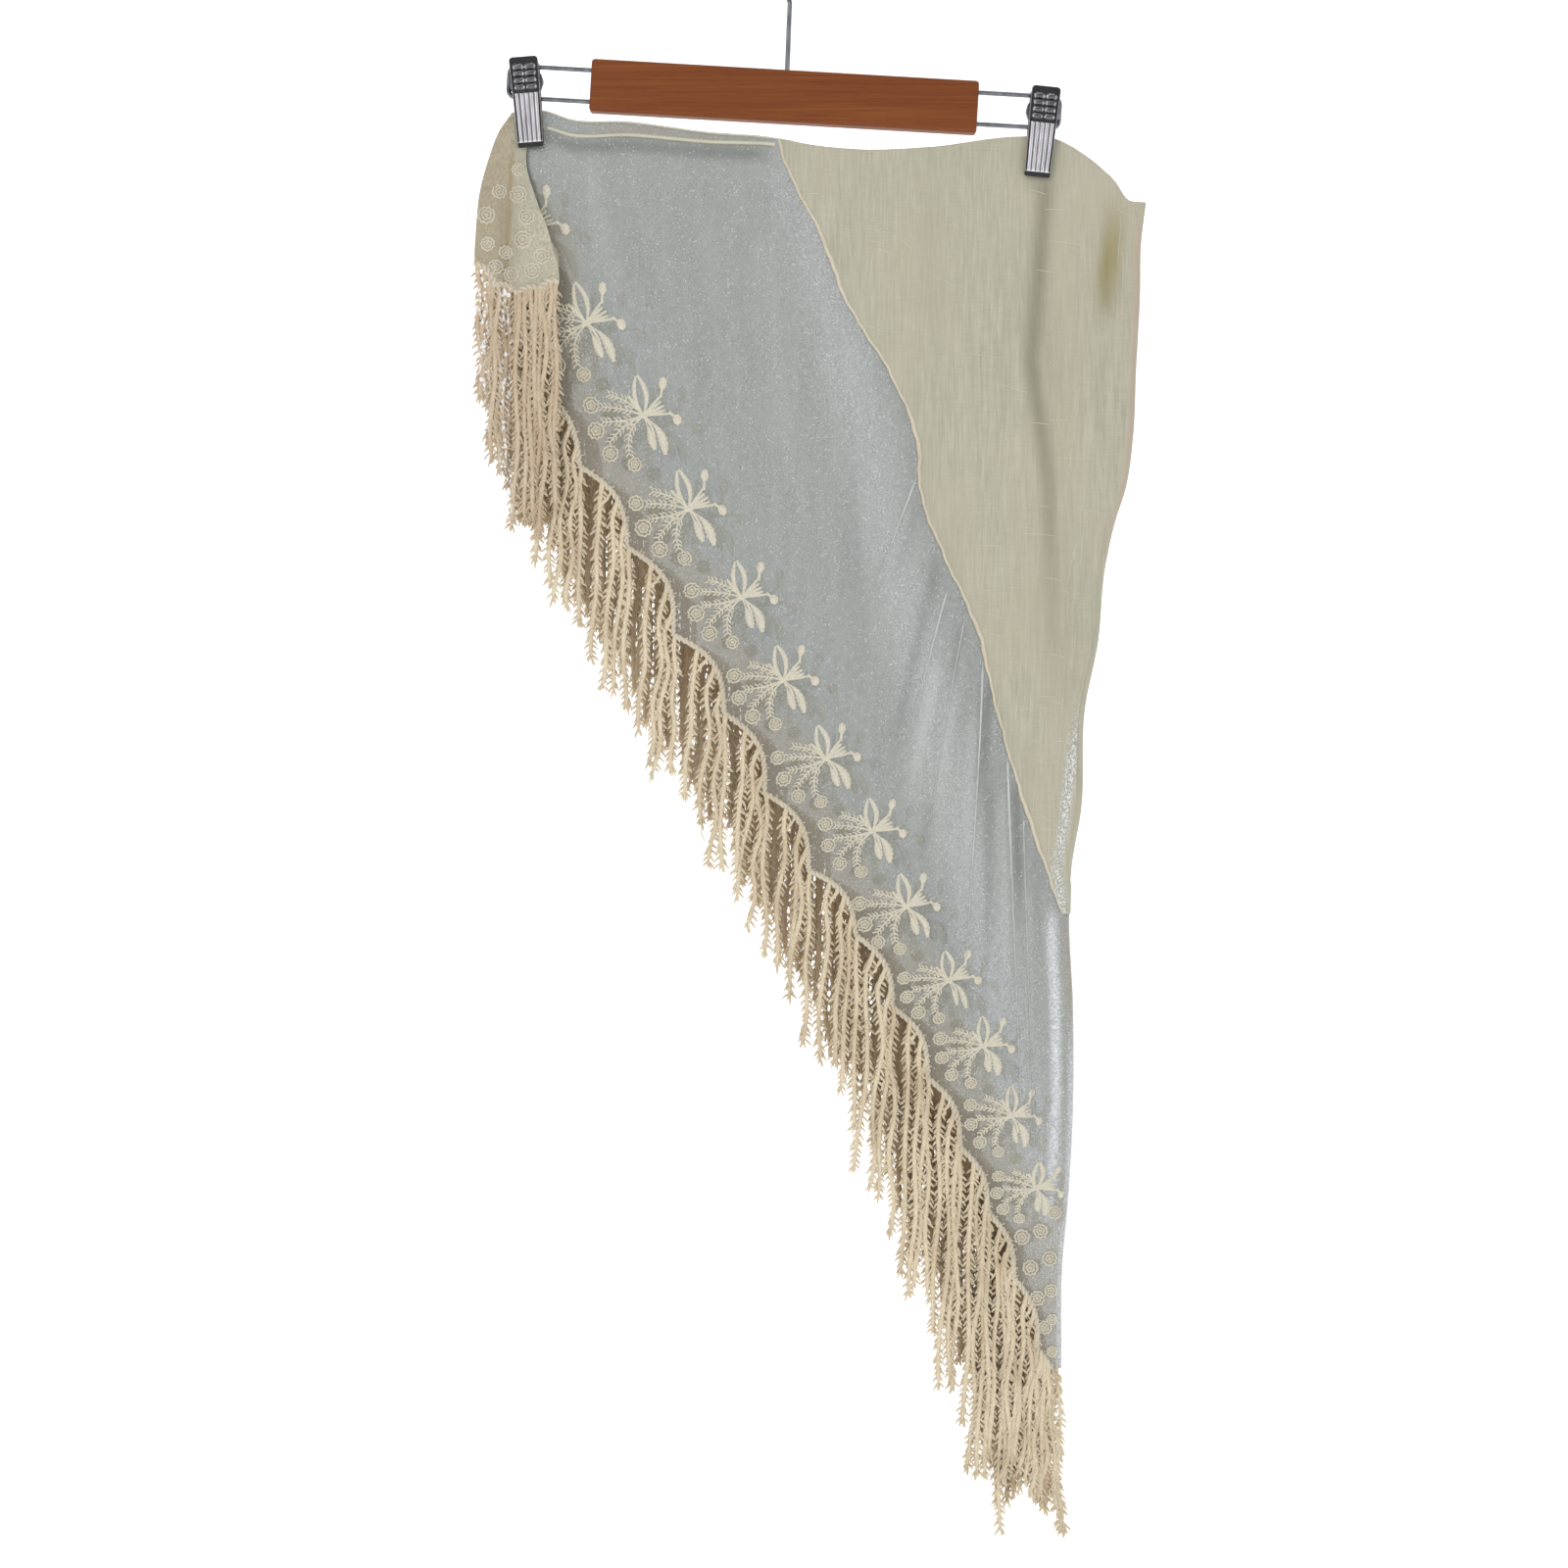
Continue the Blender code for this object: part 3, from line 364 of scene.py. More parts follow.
def curve_through(keys, values):
    """A smooth function that passes through the given values."""
    order = np.argsort(keys)
    keys = np.array(keys, float)[order]
    values = np.array(values, float)[order]
    slopes = np.gradient(values, keys)

    def at(key):
        key = min(max(key, keys[0]), keys[-1])
        i = min(int(np.searchsorted(keys, key, side="right")) - 1, len(keys) - 2)
        step = keys[i + 1] - keys[i]
        t = (key - keys[i]) / step
        start = (2 * t**3 - 3 * t**2 + 1) * values[i] + (t**3 - 2 * t**2 + t) * step * slopes[i]
        end = (3 * t**2 - 2 * t**3) * values[i + 1] + (t**3 - t**2) * step * slopes[i + 1]
        return float(start + end)

    return at


def shown(name, data):
    """A new object in the scene."""
    obj = bpy.data.objects.new(name, data)
    bpy.context.scene.collection.objects.link(obj)
    return obj


def mix(a, b, share):
    return a + (b - a) * share


def ease(share):
    """A share from zero to one with a soft start and end."""
    share = min(max(share, 0), 1)
    return share * share * (3 - 2 * share)


top_z = curve_through([p.x for p in TOP_EDGE], [p.z for p in TOP_EDGE])
seam_x = curve_through([p.z for p in SEAM], [p.x for p in SEAM])
edge_x = curve_through([p.z for p in FOLD_EDGE], [p.x for p in FOLD_EDGE])
drape_half = curve_through([d.z for d in DRAPE], [d.half for d in DRAPE])
end_left = curve_through([s.z for s in END_SIDES], [s.left for s in END_SIDES])
end_right = curve_through([s.z for s in END_SIDES], [s.right for s in END_SIDES])


def pinch_at(x, z):
    """One inside a clip's grip, falling to zero away from it."""
    near = 0
    for clip in CLIPS:
        away = math.hypot(x - clip.tip_x, z - clip.tip_z)
        near = max(near, 1 - ease((away - CLIP_FLAT) / CLIP_FADE))
    return near


def half_gap(x, z):
    """Half the distance between the two layers."""
    return mix(drape_half(z), PINCH, pinch_at(x, z))


def fold_depth(folds, x, z):
    """Sum of the folds at a place, each a soft trough or ridge along its line."""
    depth = 0
    for fold in folds:
        share = (z - fold.head_z) / (fold.foot_z - fold.head_z)
        if not 0 < share < 1:
            continue
        off = abs(x - mix(fold.head_x, fold.foot_x, share)) / fold.half
        if off < 1:
            rise = ease(share / FOLD_FADE) * ease((1 - share) / FOLD_FADE)
            depth += fold.deep * rise * 0.5 * (1 + math.cos(math.pi * off))
    return depth * (1 - pinch_at(x, z))


def ripple(x, z, seed):
    """Small unevenness, long down the cloth and short across it."""
    calm = 1 - pinch_at(x, z)
    return RIPPLE * calm * noise.noise(Vector((x * 0.045, seed, z * 0.012)))


def front_y(x, z):
    """Depth of the front layer's middle surface."""
    return -half_gap(x, z) + fold_depth(FRONT_FOLDS + CREASES, x, z) + ripple(x, z, 0)


def back_y(x, z):
    """Depth of the back layer's middle surface, clear of the front one."""
    depth = half_gap(x, z) + fold_depth(BACK_FOLDS, x, z) - fold_depth(CREASES, x + 9, z)
    return max(depth + ripple(x, z, 7), front_y(x, z) + LAYERS_CLEAR)


def end_y(x, z, side):
    """Depth of a turned-down end, outside the net on the given side."""
    swell = END_SWELL * ease((END_SWELL_TOP - z) / (END_SWELL_TOP - END_SWELL_FOOT))
    off = min(abs(x - END_VALLEY_X) / END_VALLEY_HALF, 1)
    valley = END_VALLEY_DEEP * 0.5 * (1 + math.cos(math.pi * off)) * swell / END_SWELL
    return side * (half_gap(x, z) + LAYER_STEP + swell - valley)


def moved(places, shift):
    """The same places, all shifted aside."""
    return [place._replace(x=place.x + shift.x, z=place.z + shift.z) for place in places]


def shifted(lobes, shift):
    """The same hem hung a little to the right, fading out at both ends."""
    last = len(lobes) - 1
    hem = []
    for k, lobe in enumerate(lobes):
        share = min(1, k / 3, (last - k) / 4)
        hem.append(lobe._replace(x=lobe.x + shift.x * share, z=lobe.z + shift.z * share))
    return hem


def hem_at(lobes, s):
    """The point s scallops along a hem."""
    k = min(int(s), len(lobes) - 2)
    t = s - k
    a, b = lobes[k], lobes[k + 1]
    dx, dz = b.x - a.x, b.z - a.z
    bow = a.bow * math.sin(math.pi * t)
    return a.x + dx * t - dz * bow, a.z + dz * t + dx * bow


def seam_level(hem_z):
    """The height at the seam or fold of the cloth row that starts at a height on the hem."""
    head, foot = HEM[0].z, HEM[-1].z
    return mix(SEAM[0].z, FOLD_EDGE[-1].z, (hem_z - head) / (foot - head))


HALF_ROWS = 2 * (len(HEM) - 1) + 1
SEAM_LEVELS = [seam_level(hem_at(HEM, r / 2)[1]) for r in range(HALF_ROWS)]
WOVEN_ROWS = len([z for z in SEAM_LEVELS if z > WOVEN_POINT_Z])
WOVEN_FOOT_Z = SEAM_LEVELS[WOVEN_ROWS - 1]
WOVEN_FOOT_S = (WOVEN_ROWS - 1) / 2


def level_at(s):
    """The height at the seam of the cloth row that starts s scallops along the hem."""
    return float(np.interp(2 * s, range(HALF_ROWS), SEAM_LEVELS))


def fold_points(z):
    """Points round the right edge from the front layer to the back one, with their outward
    directions."""
    middle_x = edge_x(z)
    front = front_y(middle_x, z)
    back = back_y(middle_x, z)
    half = (back - front) / 2
    reach = min(half, 4)
    points = []
    for i in range(FOLD_BEND + 2):
        turn = math.pi * i / (FOLD_BEND + 1)
        out = Vector((math.sin(turn), -math.cos(turn), 0))
        x = middle_x - WALL / 2 - reach + reach * math.sin(turn)
        points.append((Vector((x, (front + back) / 2 - half * math.cos(turn), z)), out))
    return points


def near(value, middle, half):
    """One at the middle, falling softly to zero at half away from it."""
    return ease(1 - abs(value - middle) / half)


class Form:
    """Points and faces, in millimetres, that grow into one mesh."""

    def __init__(self):
        self.points = []
        self.faces = []
        self.marks = []  # which of the piece's materials a face has
        self.tones = []  # red, green and blue share that the material mixes its colours by

    def add(self, points, faces, tones=None):
        start = len(self.points)
        self.points.extend(tuple(p) for p in points)
        self.faces.extend(tuple(i + start for i in face) for face in faces)
        self.marks.extend([0] * len(faces))
        self.tones.extend(tones or [(0, 0, 0)] * len(points))

    def piece(self, name, mats, slot, smooth_angle=60):
        """The finished piece, which hangs on the frame's one body."""
        mesh = bpy.data.meshes.new(name)
        mesh.from_pydata([Vector(p) * MM for p in self.points], [], self.faces)
        mesh.polygons.foreach_set("material_index", self.marks)
        form = bmesh.new()
        form.from_mesh(mesh)
        bmesh.ops.recalc_face_normals(form, faces=form.faces)
        form.to_mesh(mesh)
        form.free()
        tone = mesh.attributes.new("tone", "FLOAT_COLOR", "POINT")
        tone.data.foreach_set("color", [c for t in self.tones for c in (*t, 1)])
        mesh.shade_smooth()
        mesh.set_sharp_from_angle(angle=math.radians(smooth_angle))
        for mat in mats:
            mesh.materials.append(mat)
        obj = shown(name, mesh)
        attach(obj, "root")
        return obj


def flat_tone(out, share):
    """No shading."""
    return 0, 0, 0


def stitch_tone(out, share):
    """Stitches are bright on top and shaded where they meet the cloth."""
    return 0.6 * (1 - abs(out[1])), 0, 0


def yarn_tone(side, shown, hidden, root):
    """Yarn is shaded on the side that faces the other layer, and more so near its root. The
    side is -1 for the front layer and 1 for the back."""

    def tone(out, share):
        inward = max(0, -side * out[1])
        return min(mix(shown, hidden, inward) + root * (1 - share) ** 1.5, 1), 0, 0

    return tone


FRONT_TONE = yarn_tone(-1, 0, 0.85, 0.06)
BACK_TONE = yarn_tone(1, 0.08, 0.55, 0.36)

# The two layers of the folded cloth: the hem is corded from one of its lobes on, and "shift" is
# how far the motifs hang aside
IN_PLACE = Place(0, 0)
Layer = namedtuple("Layer", "name side hem depth shift lean corded_from tone")
LAYERS = (
    Layer("front", -1, HEM, front_y, IN_PLACE, STRAND_LEAN, 1, FRONT_TONE),
    Layer("back", 1, shifted(HEM, BACK_SHIFT), back_y, MOTIF_SHIFT, STRAND_LEAN, 1, BACK_TONE),
)
# The turned-down ends, outside the layers
ENDS = tuple(
    Layer(name, side, moved(END_HEM, shift), partial(end_y, side=side), shift, 0, 0, tone)
    for name, side, shift, tone in (
        ("end_front", -1, IN_PLACE, FRONT_TONE),
        ("end_back", 1, END_BACK_SHIFT, BACK_TONE),
    )
)


def skin(form, rings, closed=False, tones=None):
    """A tube over rings of points, with closed ends or joined end to start."""
    count = len(rings[0])
    total = len(rings)
    faces = []
    for r in range(total if closed else total - 1):
        a, b = r * count, (r + 1) % total * count
        for i in range(count):
            j = (i + 1) % count
            faces.append((a + i, a + j, b + j, b + i))
    if not closed:
        faces.append(tuple(range(count)))
        faces.append(tuple(range((total - 1) * count, total * count)))
    form.add([p for ring in rings for p in ring], faces, tones)


def tube(form, route, wide, high=None, sides=6, closed=False, tone=flat_tone):
    """A tube along a route, its half width across the cloth and its half height out of it.
    The tone is a function of each point's outward direction and share of the way along."""
    route = np.asarray(route, float)
    wide = np.broadcast_to(np.asarray(wide, float), len(route))
    high = wide if high is None else np.broadcast_to(np.asarray(high, float), len(route))
    if closed:
        run = np.roll(route, -1, 0) - np.roll(route, 1, 0)
    else:
        run = np.gradient(route, axis=0)
    run /= np.linalg.norm(run, axis=1)[:, None] + 1e-9
    across = np.cross(run, (0, -1, 0))
    weak = np.linalg.norm(across, axis=1) < 0.4
    across[weak] = np.cross(run[weak], (1, 0, 0))
    across /= np.linalg.norm(across, axis=1)[:, None]
    up = np.cross(across, run)
    turn = 2 * math.pi * (np.arange(sides) + 0.5) / sides
    rings = (
        route[:, None, :]
        + across[:, None, :] * (wide[:, None] * np.cos(turn))[..., None]
        + up[:, None, :] * (high[:, None] * np.sin(turn))[..., None]
    )
    outs = (rings - route[:, None, :]) / np.linalg.norm(rings - route[:, None, :], axis=2)[..., None]
    last = len(route) - 1
    tones = [tone(out, r / last) for r, ring in enumerate(outs.tolist()) for out in ring]
    skin(form, rings.tolist(), closed, tones)


class Sheet(Form):
    """A cloth surface with an outward direction at each point, closed into a thin wall."""

    def __init__(self):
        super().__init__()
        self.outs = []

    def put(self, point, out, tone=(0, 0, 0)):
        self.points.append(Vector(point))
        self.outs.append(Vector(out))
        self.tones.append(tone)
        return len(self.points) - 1

    def weave(self, grid, side=-1):
        """Cells between the rows of a grid, which runs the other way on the back, side 1."""
        for upper, lower in zip(grid, grid[1:]):
            if side > 0:
                upper, lower = upper[::-1], lower[::-1]
            for i in range(len(upper) - 1):
                self.faces.append((upper[i], lower[i], lower[i + 1], upper[i + 1]))

    def area(self):
        """Area of the surface, in square metres."""
        total = 0
        for face in self.faces:
            corners = [self.points[i] for i in face]
            for b, c in zip(corners[1:], corners[2:]):
                total += (b - corners[0]).cross(c - corners[0]).length / 2
        return total * MM * MM

    def finish(self, name, mat, slot):
        """The cloth as a thin closed wall, and the area of its surface."""
        area = self.area()
        count = len(self.points)
        surface = list(self.faces)
        inner = [p - n * THIN / 2 for p, n in zip(self.points, self.outs)]
        self.points = [p + n * THIN / 2 for p, n in zip(self.points, self.outs)] + inner
        self.tones = self.tones * 2
        self.faces += [tuple(i + count for i in reversed(f)) for f in surface]
        used = {(f[i], f[(i + 1) % len(f)]) for f in surface for i in range(len(f))}
        for a, b in sorted(used):
            if (b, a) not in used:
                self.faces.append((b, a, a + count, b + count))
        self.marks = [0] * len(self.faces)
        return self.piece(name, [mat], slot), area


class Paint:
    """A material under construction: nodes are added and wired by socket name."""

    def __init__(self, name, roughness, **constants):
        self.mat = bpy.data.materials.new(name)
        self.mat.use_nodes = True
        self.tree = self.mat.node_tree
        self.shader = self.tree.nodes["Principled BSDF"]
        self.shader.inputs["Roughness"].default_value = roughness
        for socket, value in constants.items():
            self.shader.inputs[socket.replace("_", " ")].default_value = value
        self.places = self.tree.nodes.new("ShaderNodeTexCoord").outputs["Object"]

    def node(self, kind, inputs, **settings):
        """A node with settings, its inputs given by name or number as values or as sockets."""
        made = self.tree.nodes.new("ShaderNode" + kind)
        for key, value in settings.items():
            setattr(made, key, value)
        for key, value in inputs.items():
            if isinstance(value, bpy.types.NodeSocket):
                self.tree.links.new(value, made.inputs[key])
            else:
                made.inputs[key].default_value = value
        return made

    def spread(self, x, y, z, turn=0):
        """Places turned about Y and times a frequency per metre on each axis."""
        inputs = {"Vector": self.places, "Rotation": (0, turn, 0), "Scale": (x, y, z)}
        return {"Vector": self.node("Mapping", inputs).outputs["Vector"], "Scale": 1}

    def noise(self, where, detail=2, rough=0.5, warp=0):
        inputs = {"Detail": detail, "Roughness": rough, "Distortion": warp}
        return self.node("TexNoise", {**self.spread(*where), **inputs}).outputs["Fac"]

    def cells(self, where):
        """A random share for each cell, and the distance to its middle."""
        made = self.node("TexVoronoi", self.spread(*where)).outputs
        return self.node("SeparateColor", {"Color": made["Color"]}).outputs[0], made["Distance"]

    def ramp(self, share, *stops):
        """Values or screen colours at shares along a range."""
        made = self.node("ValToRGB", {"Fac": share})
        bar = made.color_ramp
        while len(bar.elements) < len(stops):
            bar.elements.new(0.5)
        for element, (place, value) in zip(bar.elements, stops):
            element.position = place
            colour = srgb(*value) if isinstance(value, tuple) else (value,) * 3
            element.color = (*colour, 1)
        return made.outputs["Color"]

    def blend(self, share, first, second):
        made = self.node("Mix", {0: share}, data_type="RGBA")
        for number, value in ((6, first), (7, second)):
            if isinstance(value, bpy.types.NodeSocket):
                self.tree.links.new(value, made.inputs[number])
            else:
                made.inputs[number].default_value = (*srgb(*value), 1)
        return made.outputs[2]

    def patches(self, body, colour, start, stop, most, *noise):
        """A colour laid over the body where a noise is high: none at start, most at stop."""
        return self.blend(self.ramp(self.noise(*noise), (start, 0), (stop, most)), body, colour)

    def maths(self, how, *values):
        return self.node("Math", dict(enumerate(values)), operation=how).outputs[0]

    def above(self, share, times=1):
        """A share times a number, and zero where that is negative."""
        return self.maths("MAXIMUM", self.maths("MULTIPLY", share, times), 0)

    def tone(self):
        """The three shares that a mesh carries at its points."""
        read = self.node("Attribute", {}, attribute_name="tone").outputs["Color"]
        return self.node("SeparateColor", {"Color": read}).outputs[:3]

    def finish(self, body, height, distance, strength, roughness=None):
        """The material with its colour, its relief in millimetres, and how its gloss varies."""
        inputs = {"Height": height, "Distance": distance * MM, "Strength": strength}
        ends = {"Base Color": body, "Normal": self.node("Bump", inputs).outputs["Normal"]}
        if roughness:
            ends["Roughness"] = roughness
        for name, socket in ends.items():
            self.tree.links.new(socket, self.shader.inputs[name])
        return self.mat


def net_paint():
    """Sheer grey net with fine upright ribs and many small painted glints. Its tone paints shade and
    light along the folds and shade beside the turned-down end, and its fold edge has silver strips
    whose glitter is painted as light and dark specks.
    """
    paint = Paint("net", 0.6, Alpha=0.47, Sheen_Weight=0.15, Sheen_Roughness=0.4)
    warm_and_shade, shade, silver = paint.tone()
    ribs = paint.noise((1100, 60, 620), 2, 0.6, 0.3)
    body = paint.ramp(ribs, (0.3, (116, 121, 118)), (0.5, (136, 140, 137)), (0.7, (162, 165, 161)))
    body = paint.patches(body, (152, 158, 154), 0.4, 0.72, 0.5, (160, 20, 16), 2, 0.5, 0.2)
    body = paint.patches(body, (146, 152, 142), 0.35, 0.7, 0.4, (24, 24, 13), 3, 0.55)
    # Warm tint of the hem band and border, and painted shade beside the turned-down end
    body = paint.blend(warm_and_shade, body, (150, 142, 126))
    # Painted shade and painted light along the folds and under the top hem
    body = paint.blend(paint.above(shade), body, (84, 88, 80))
    body = paint.blend(paint.above(shade, -1), body, (196, 203, 200))
    # Silver thread at the fold, its glitter painted as light and dark specks
    grain = paint.noise((900, 300, 820), 1)
    painted_glitter = paint.ramp(grain, (0.36, (172, 177, 184)), (0.5, (206, 210, 213)), (0.62, (244, 246, 250)))
    body = paint.blend(paint.above(silver, 0.75), body, painted_glitter)
    # Painted glints, more of them on the silver strips
    chance, distance = paint.cells((760, 150, 560))
    chance = paint.maths("MULTIPLY_ADD", silver, 0.45, chance)
    chosen = paint.ramp(chance, (0.68, 0), (0.99, 0.66))
    glint = paint.maths("MULTIPLY", chosen, paint.ramp(distance, (0.2, 1), (0.42, 0)))
    body = paint.blend(glint, body, (232, 236, 233))
    return paint.finish(body, ribs, 0.3, 0.7, paint.ramp(glint, (0, 0.6), (1, 0.3)))


def ridge_paint():
    """The pressed creases of the net, where its layers lie on each other."""
    paint = Paint("net_crease", 0.6, Alpha=0.8, Sheen_Weight=0.15, Sheen_Roughness=0.4)
    grain = paint.noise((500, 300, 120), 2, 0.6)
    body = paint.ramp(grain, (0.3, (194, 198, 194)), (0.7, (220, 224, 219)))
    return paint.finish(body, grain, 0.2, 0.6)


def end_paint():
    """Net of the turned-down ends, dense with stitches, so cream rather than grey, with painted shade
    along its valley fold.
    """
    paint = Paint("net_stitched", 0.75, Sheen_Weight=0.2, Sheen_Roughness=0.5)
    fine = paint.noise((620, 200, 420), 3, 0.6)
    body = paint.ramp(fine, (0.3, (156, 149, 130)), (0.5, (183, 177, 157)), (0.72, (203, 198, 180)))
    body = paint.patches(body, (176, 172, 154), 0.35, 0.7, 0.6, (60, 30, 24))
    # Painted shade from the tone
    body = paint.blend(paint.tone()[0], body, (152, 131, 98))
    return paint.finish(body, fine, 0.4, 0.7)


def woven_paint():
    """Cream cloth of uneven yarn: single thicker threads slant and wander a little."""
    paint = Paint("woven", 0.82, Sheen_Weight=0.15, Sheen_Roughness=0.45)
    pink, dark, yellow = paint.tone()
    upright = paint.noise((620, 40, 42, WEAVE_LEAN), 3, 0.6, 0.3)
    level = paint.noise((90, 40, 800), 2, 0.55, 0.3)
    weave = paint.maths("MULTIPLY_ADD", upright, 0.75, paint.maths("MULTIPLY", level, 0.25))
    body = paint.ramp(weave, (0.34, (167, 164, 144)), (0.5, (178, 175, 156)), (0.66, (188, 186, 167)))
    body = paint.patches(body, (186, 177, 156), 0.36, 0.72, 0.6, (20, 20, 8), 3)
    body = paint.patches(body, (166, 163, 144), 0.48, 0.76, 0.4, (40, 20, 9, WEAVE_LEAN), 2, 0.5, 0.2)
    body = paint.blend(pink, body, (184, 168, 150))
    # Painted shade in the trough and under the clip, and yellowish painted shade in the hollow
    body = paint.blend(dark, body, (122, 117, 98))
    body = paint.blend(paint.above(yellow), body, (156, 146, 102))
    # Silver strip at the fold, its glitter painted as light and dark specks
    grain = paint.noise((900, 300, 700), 2, 0.7)
    painted_glitter = paint.ramp(grain, (0.44, (150, 152, 148)), (0.52, (196, 198, 192)), (0.6, (246, 247, 244)))
    body = paint.blend(paint.above(yellow, -1), body, painted_glitter)
    return paint.finish(body, weave, 0.35, 0.8)


def yarn_paint(name, light, dark, glints=False):
    """Soft plied yarn: cream on its raised loops, browner where it is shaded."""
    paint = Paint(name, 0.9, Sheen_Weight=0.35, Sheen_Roughness=0.5, Subsurface_Weight=0.08)
    paint.shader.inputs["Subsurface Radius"].default_value = (0.004, 0.003, 0.002)
    paint.shader.inputs["Subsurface Scale"].default_value = 1
    fine = paint.noise((900, 900, 700), 3, 0.65)
    body = paint.blend(paint.ramp(fine, (0.3, 0.35), (0.6, 0)), light, dark)
    body = paint.patches(body, dark, 0.42, 0.72, 0.3, (70, 70, 26))
    body = paint.blend(paint.above(paint.tone()[0], 0.9), body, dark)
    if glints:
        across = paint.node("SeparateXYZ", {"Vector": paint.places}).outputs["X"]
        share = paint.maths("MULTIPLY_ADD", across, 1 / GLINT_SPAN, -GLINT_START / GLINT_SPAN)
        rows = paint.ramp(share, *GLINT_ROWS)
        bright = paint.maths("GREATER_THAN", paint.cells((620, 620, 420))[0], GLINT_CHANCE)
        body = paint.blend(paint.maths("MULTIPLY", bright, rows), body, (250, 250, 250))
    return paint.finish(body, fine, 0.5, 0.9)


def stitch_paint(name, low, high, glow=0):
    """Matt embroidery thread with the fine lines of satin stitches. A glow stands for the
    light that comes through the net to its back layer."""
    paint = Paint(name, 0.75, Sheen_Weight=0.2, Sheen_Roughness=0.4, Emission_Strength=glow)
    paint.shader.inputs["Emission Color"].default_value = (1, 0.97, 0.88, 1)
    lines = paint.noise((1300, 500, 900), 2, 0.6)
    body = paint.ramp(lines, (0.3, low), (0.7, high))
    body = paint.patches(body, STITCH, 0.4, 0.7, 0.3, (90, 60, 60))
    body = paint.blend(paint.above(paint.tone()[0], 0.85), body, STITCH_SHADE)
    return paint.finish(body, lines, 0.3, 0.8)


def wood_paint():
    """Varnished orange-brown wood, its grain along the bar."""
    paint = Paint("wood", 0.55, Coat_Weight=0.04, Coat_Roughness=0.4, Specular_IOR_Level=0.22)
    grain = paint.noise((9, 160, 420, BAR_TILT), 4, 0.6, 0.6)
    body = paint.ramp(grain, (0.28, (108, 52, 18)), (0.5, (124, 66, 27)), (0.72, (138, 78, 36)))
    body = paint.patches(body, (114, 58, 22), 0.38, 0.66, 0.5, (3.5, 30, 70, BAR_TILT), 3, 0.5, 1.2)
    body = paint.patches(body, (84, 40, 14), 0.6, 0.7, 0.3, (60, 900, 1500, BAR_TILT))
    return paint.finish(body, grain, 0.12, 0.4)


def metal_paint(name, dull, bright, rough):
    """Plated metal with faint wear in its gloss, and painted shade and reflection where its tone
    darkens it.
    """
    paint = Paint(name, rough, Metallic=1)
    wear = paint.noise((240, 240, 70), 3, 0.6)
    # Painted shade and reflection from the tone
    body = paint.blend(paint.tone()[0], paint.ramp(wear, (0.3, dull), (0.7, bright)), (26, 26, 30))
    gloss = paint.ramp(wear, (0.3, rough + 0.08), (0.7, rough))
    return paint.finish(body, wear, 0.05, 0.3, gloss)


def dark_paint(name, dark, light, rough):
    """Black plastic or rubber with a faint grain."""
    paint = Paint(name, rough)
    grain = paint.noise((900, 900, 900))
    return paint.finish(paint.ramp(grain, (0.35, dark), (0.7, light)), grain, 0.08, 0.5)


def net_tone(x, z, from_hem):
    """Warm hem band and border, painted shade where the net lies beside a turned-down end, a painted
    shade line under the top hem, painted light and shade along the folds, and silver strips at the fold
    edge.
    """
    under_top = top_z(x) - z
    shown = ease((-4 - x) / 20)
    warm_and_shade = 0.75 * near(under_top, 5, 6.5) * shown * ease((x + 150) / 40)
    warm_and_shade = max(warm_and_shade, 0.7 * ease((54 - from_hem) / 34) * ease((-190 - z) / 60))
    warm_and_shade = max(warm_and_shade, 0.6 * ease((-800 - z) / 60))
    # Painted shade, in the warm channel, where the net lies beside the turned-down end
    beside_end = x - end_right(z)
    warm_and_shade = max(warm_and_shade, 0.9 * ease(1 - beside_end / 24) * near(z, -235, 90))
    inside = edge_x(z) - x
    below = ease((-640 - z) / 25)
    warm_and_shade = max(warm_and_shade, 0.7 * near(inside, 2, 7) * below * ease((z + 760) / 60))
    silver = near(inside, 12.5, 6) * below * ease((z + 880) / 60)
    silver = max(silver, 0.8 * near(inside, 2, 4) * ease((-700 - z) / 60))
    silver = max(silver, 0.25 * near(x - mix(88, 150, (z + 500) / -260), 0, 34))
    shade = 0.75 * near(under_top, mix(17, 12, ease((x + 150) / 140)), 8) * shown
    for fold in SHADES:
        share = (z - fold.head_z) / (fold.foot_z - fold.head_z)
        if 0 < share < 1:
            off = x - mix(fold.head_x, fold.foot_x, share)
            fade = ease(share / 0.15) * ease((1 - share) / 0.5)
            shade += fold.deep * fade * near(off, 0, fold.half)
    return warm_and_shade, shade, silver


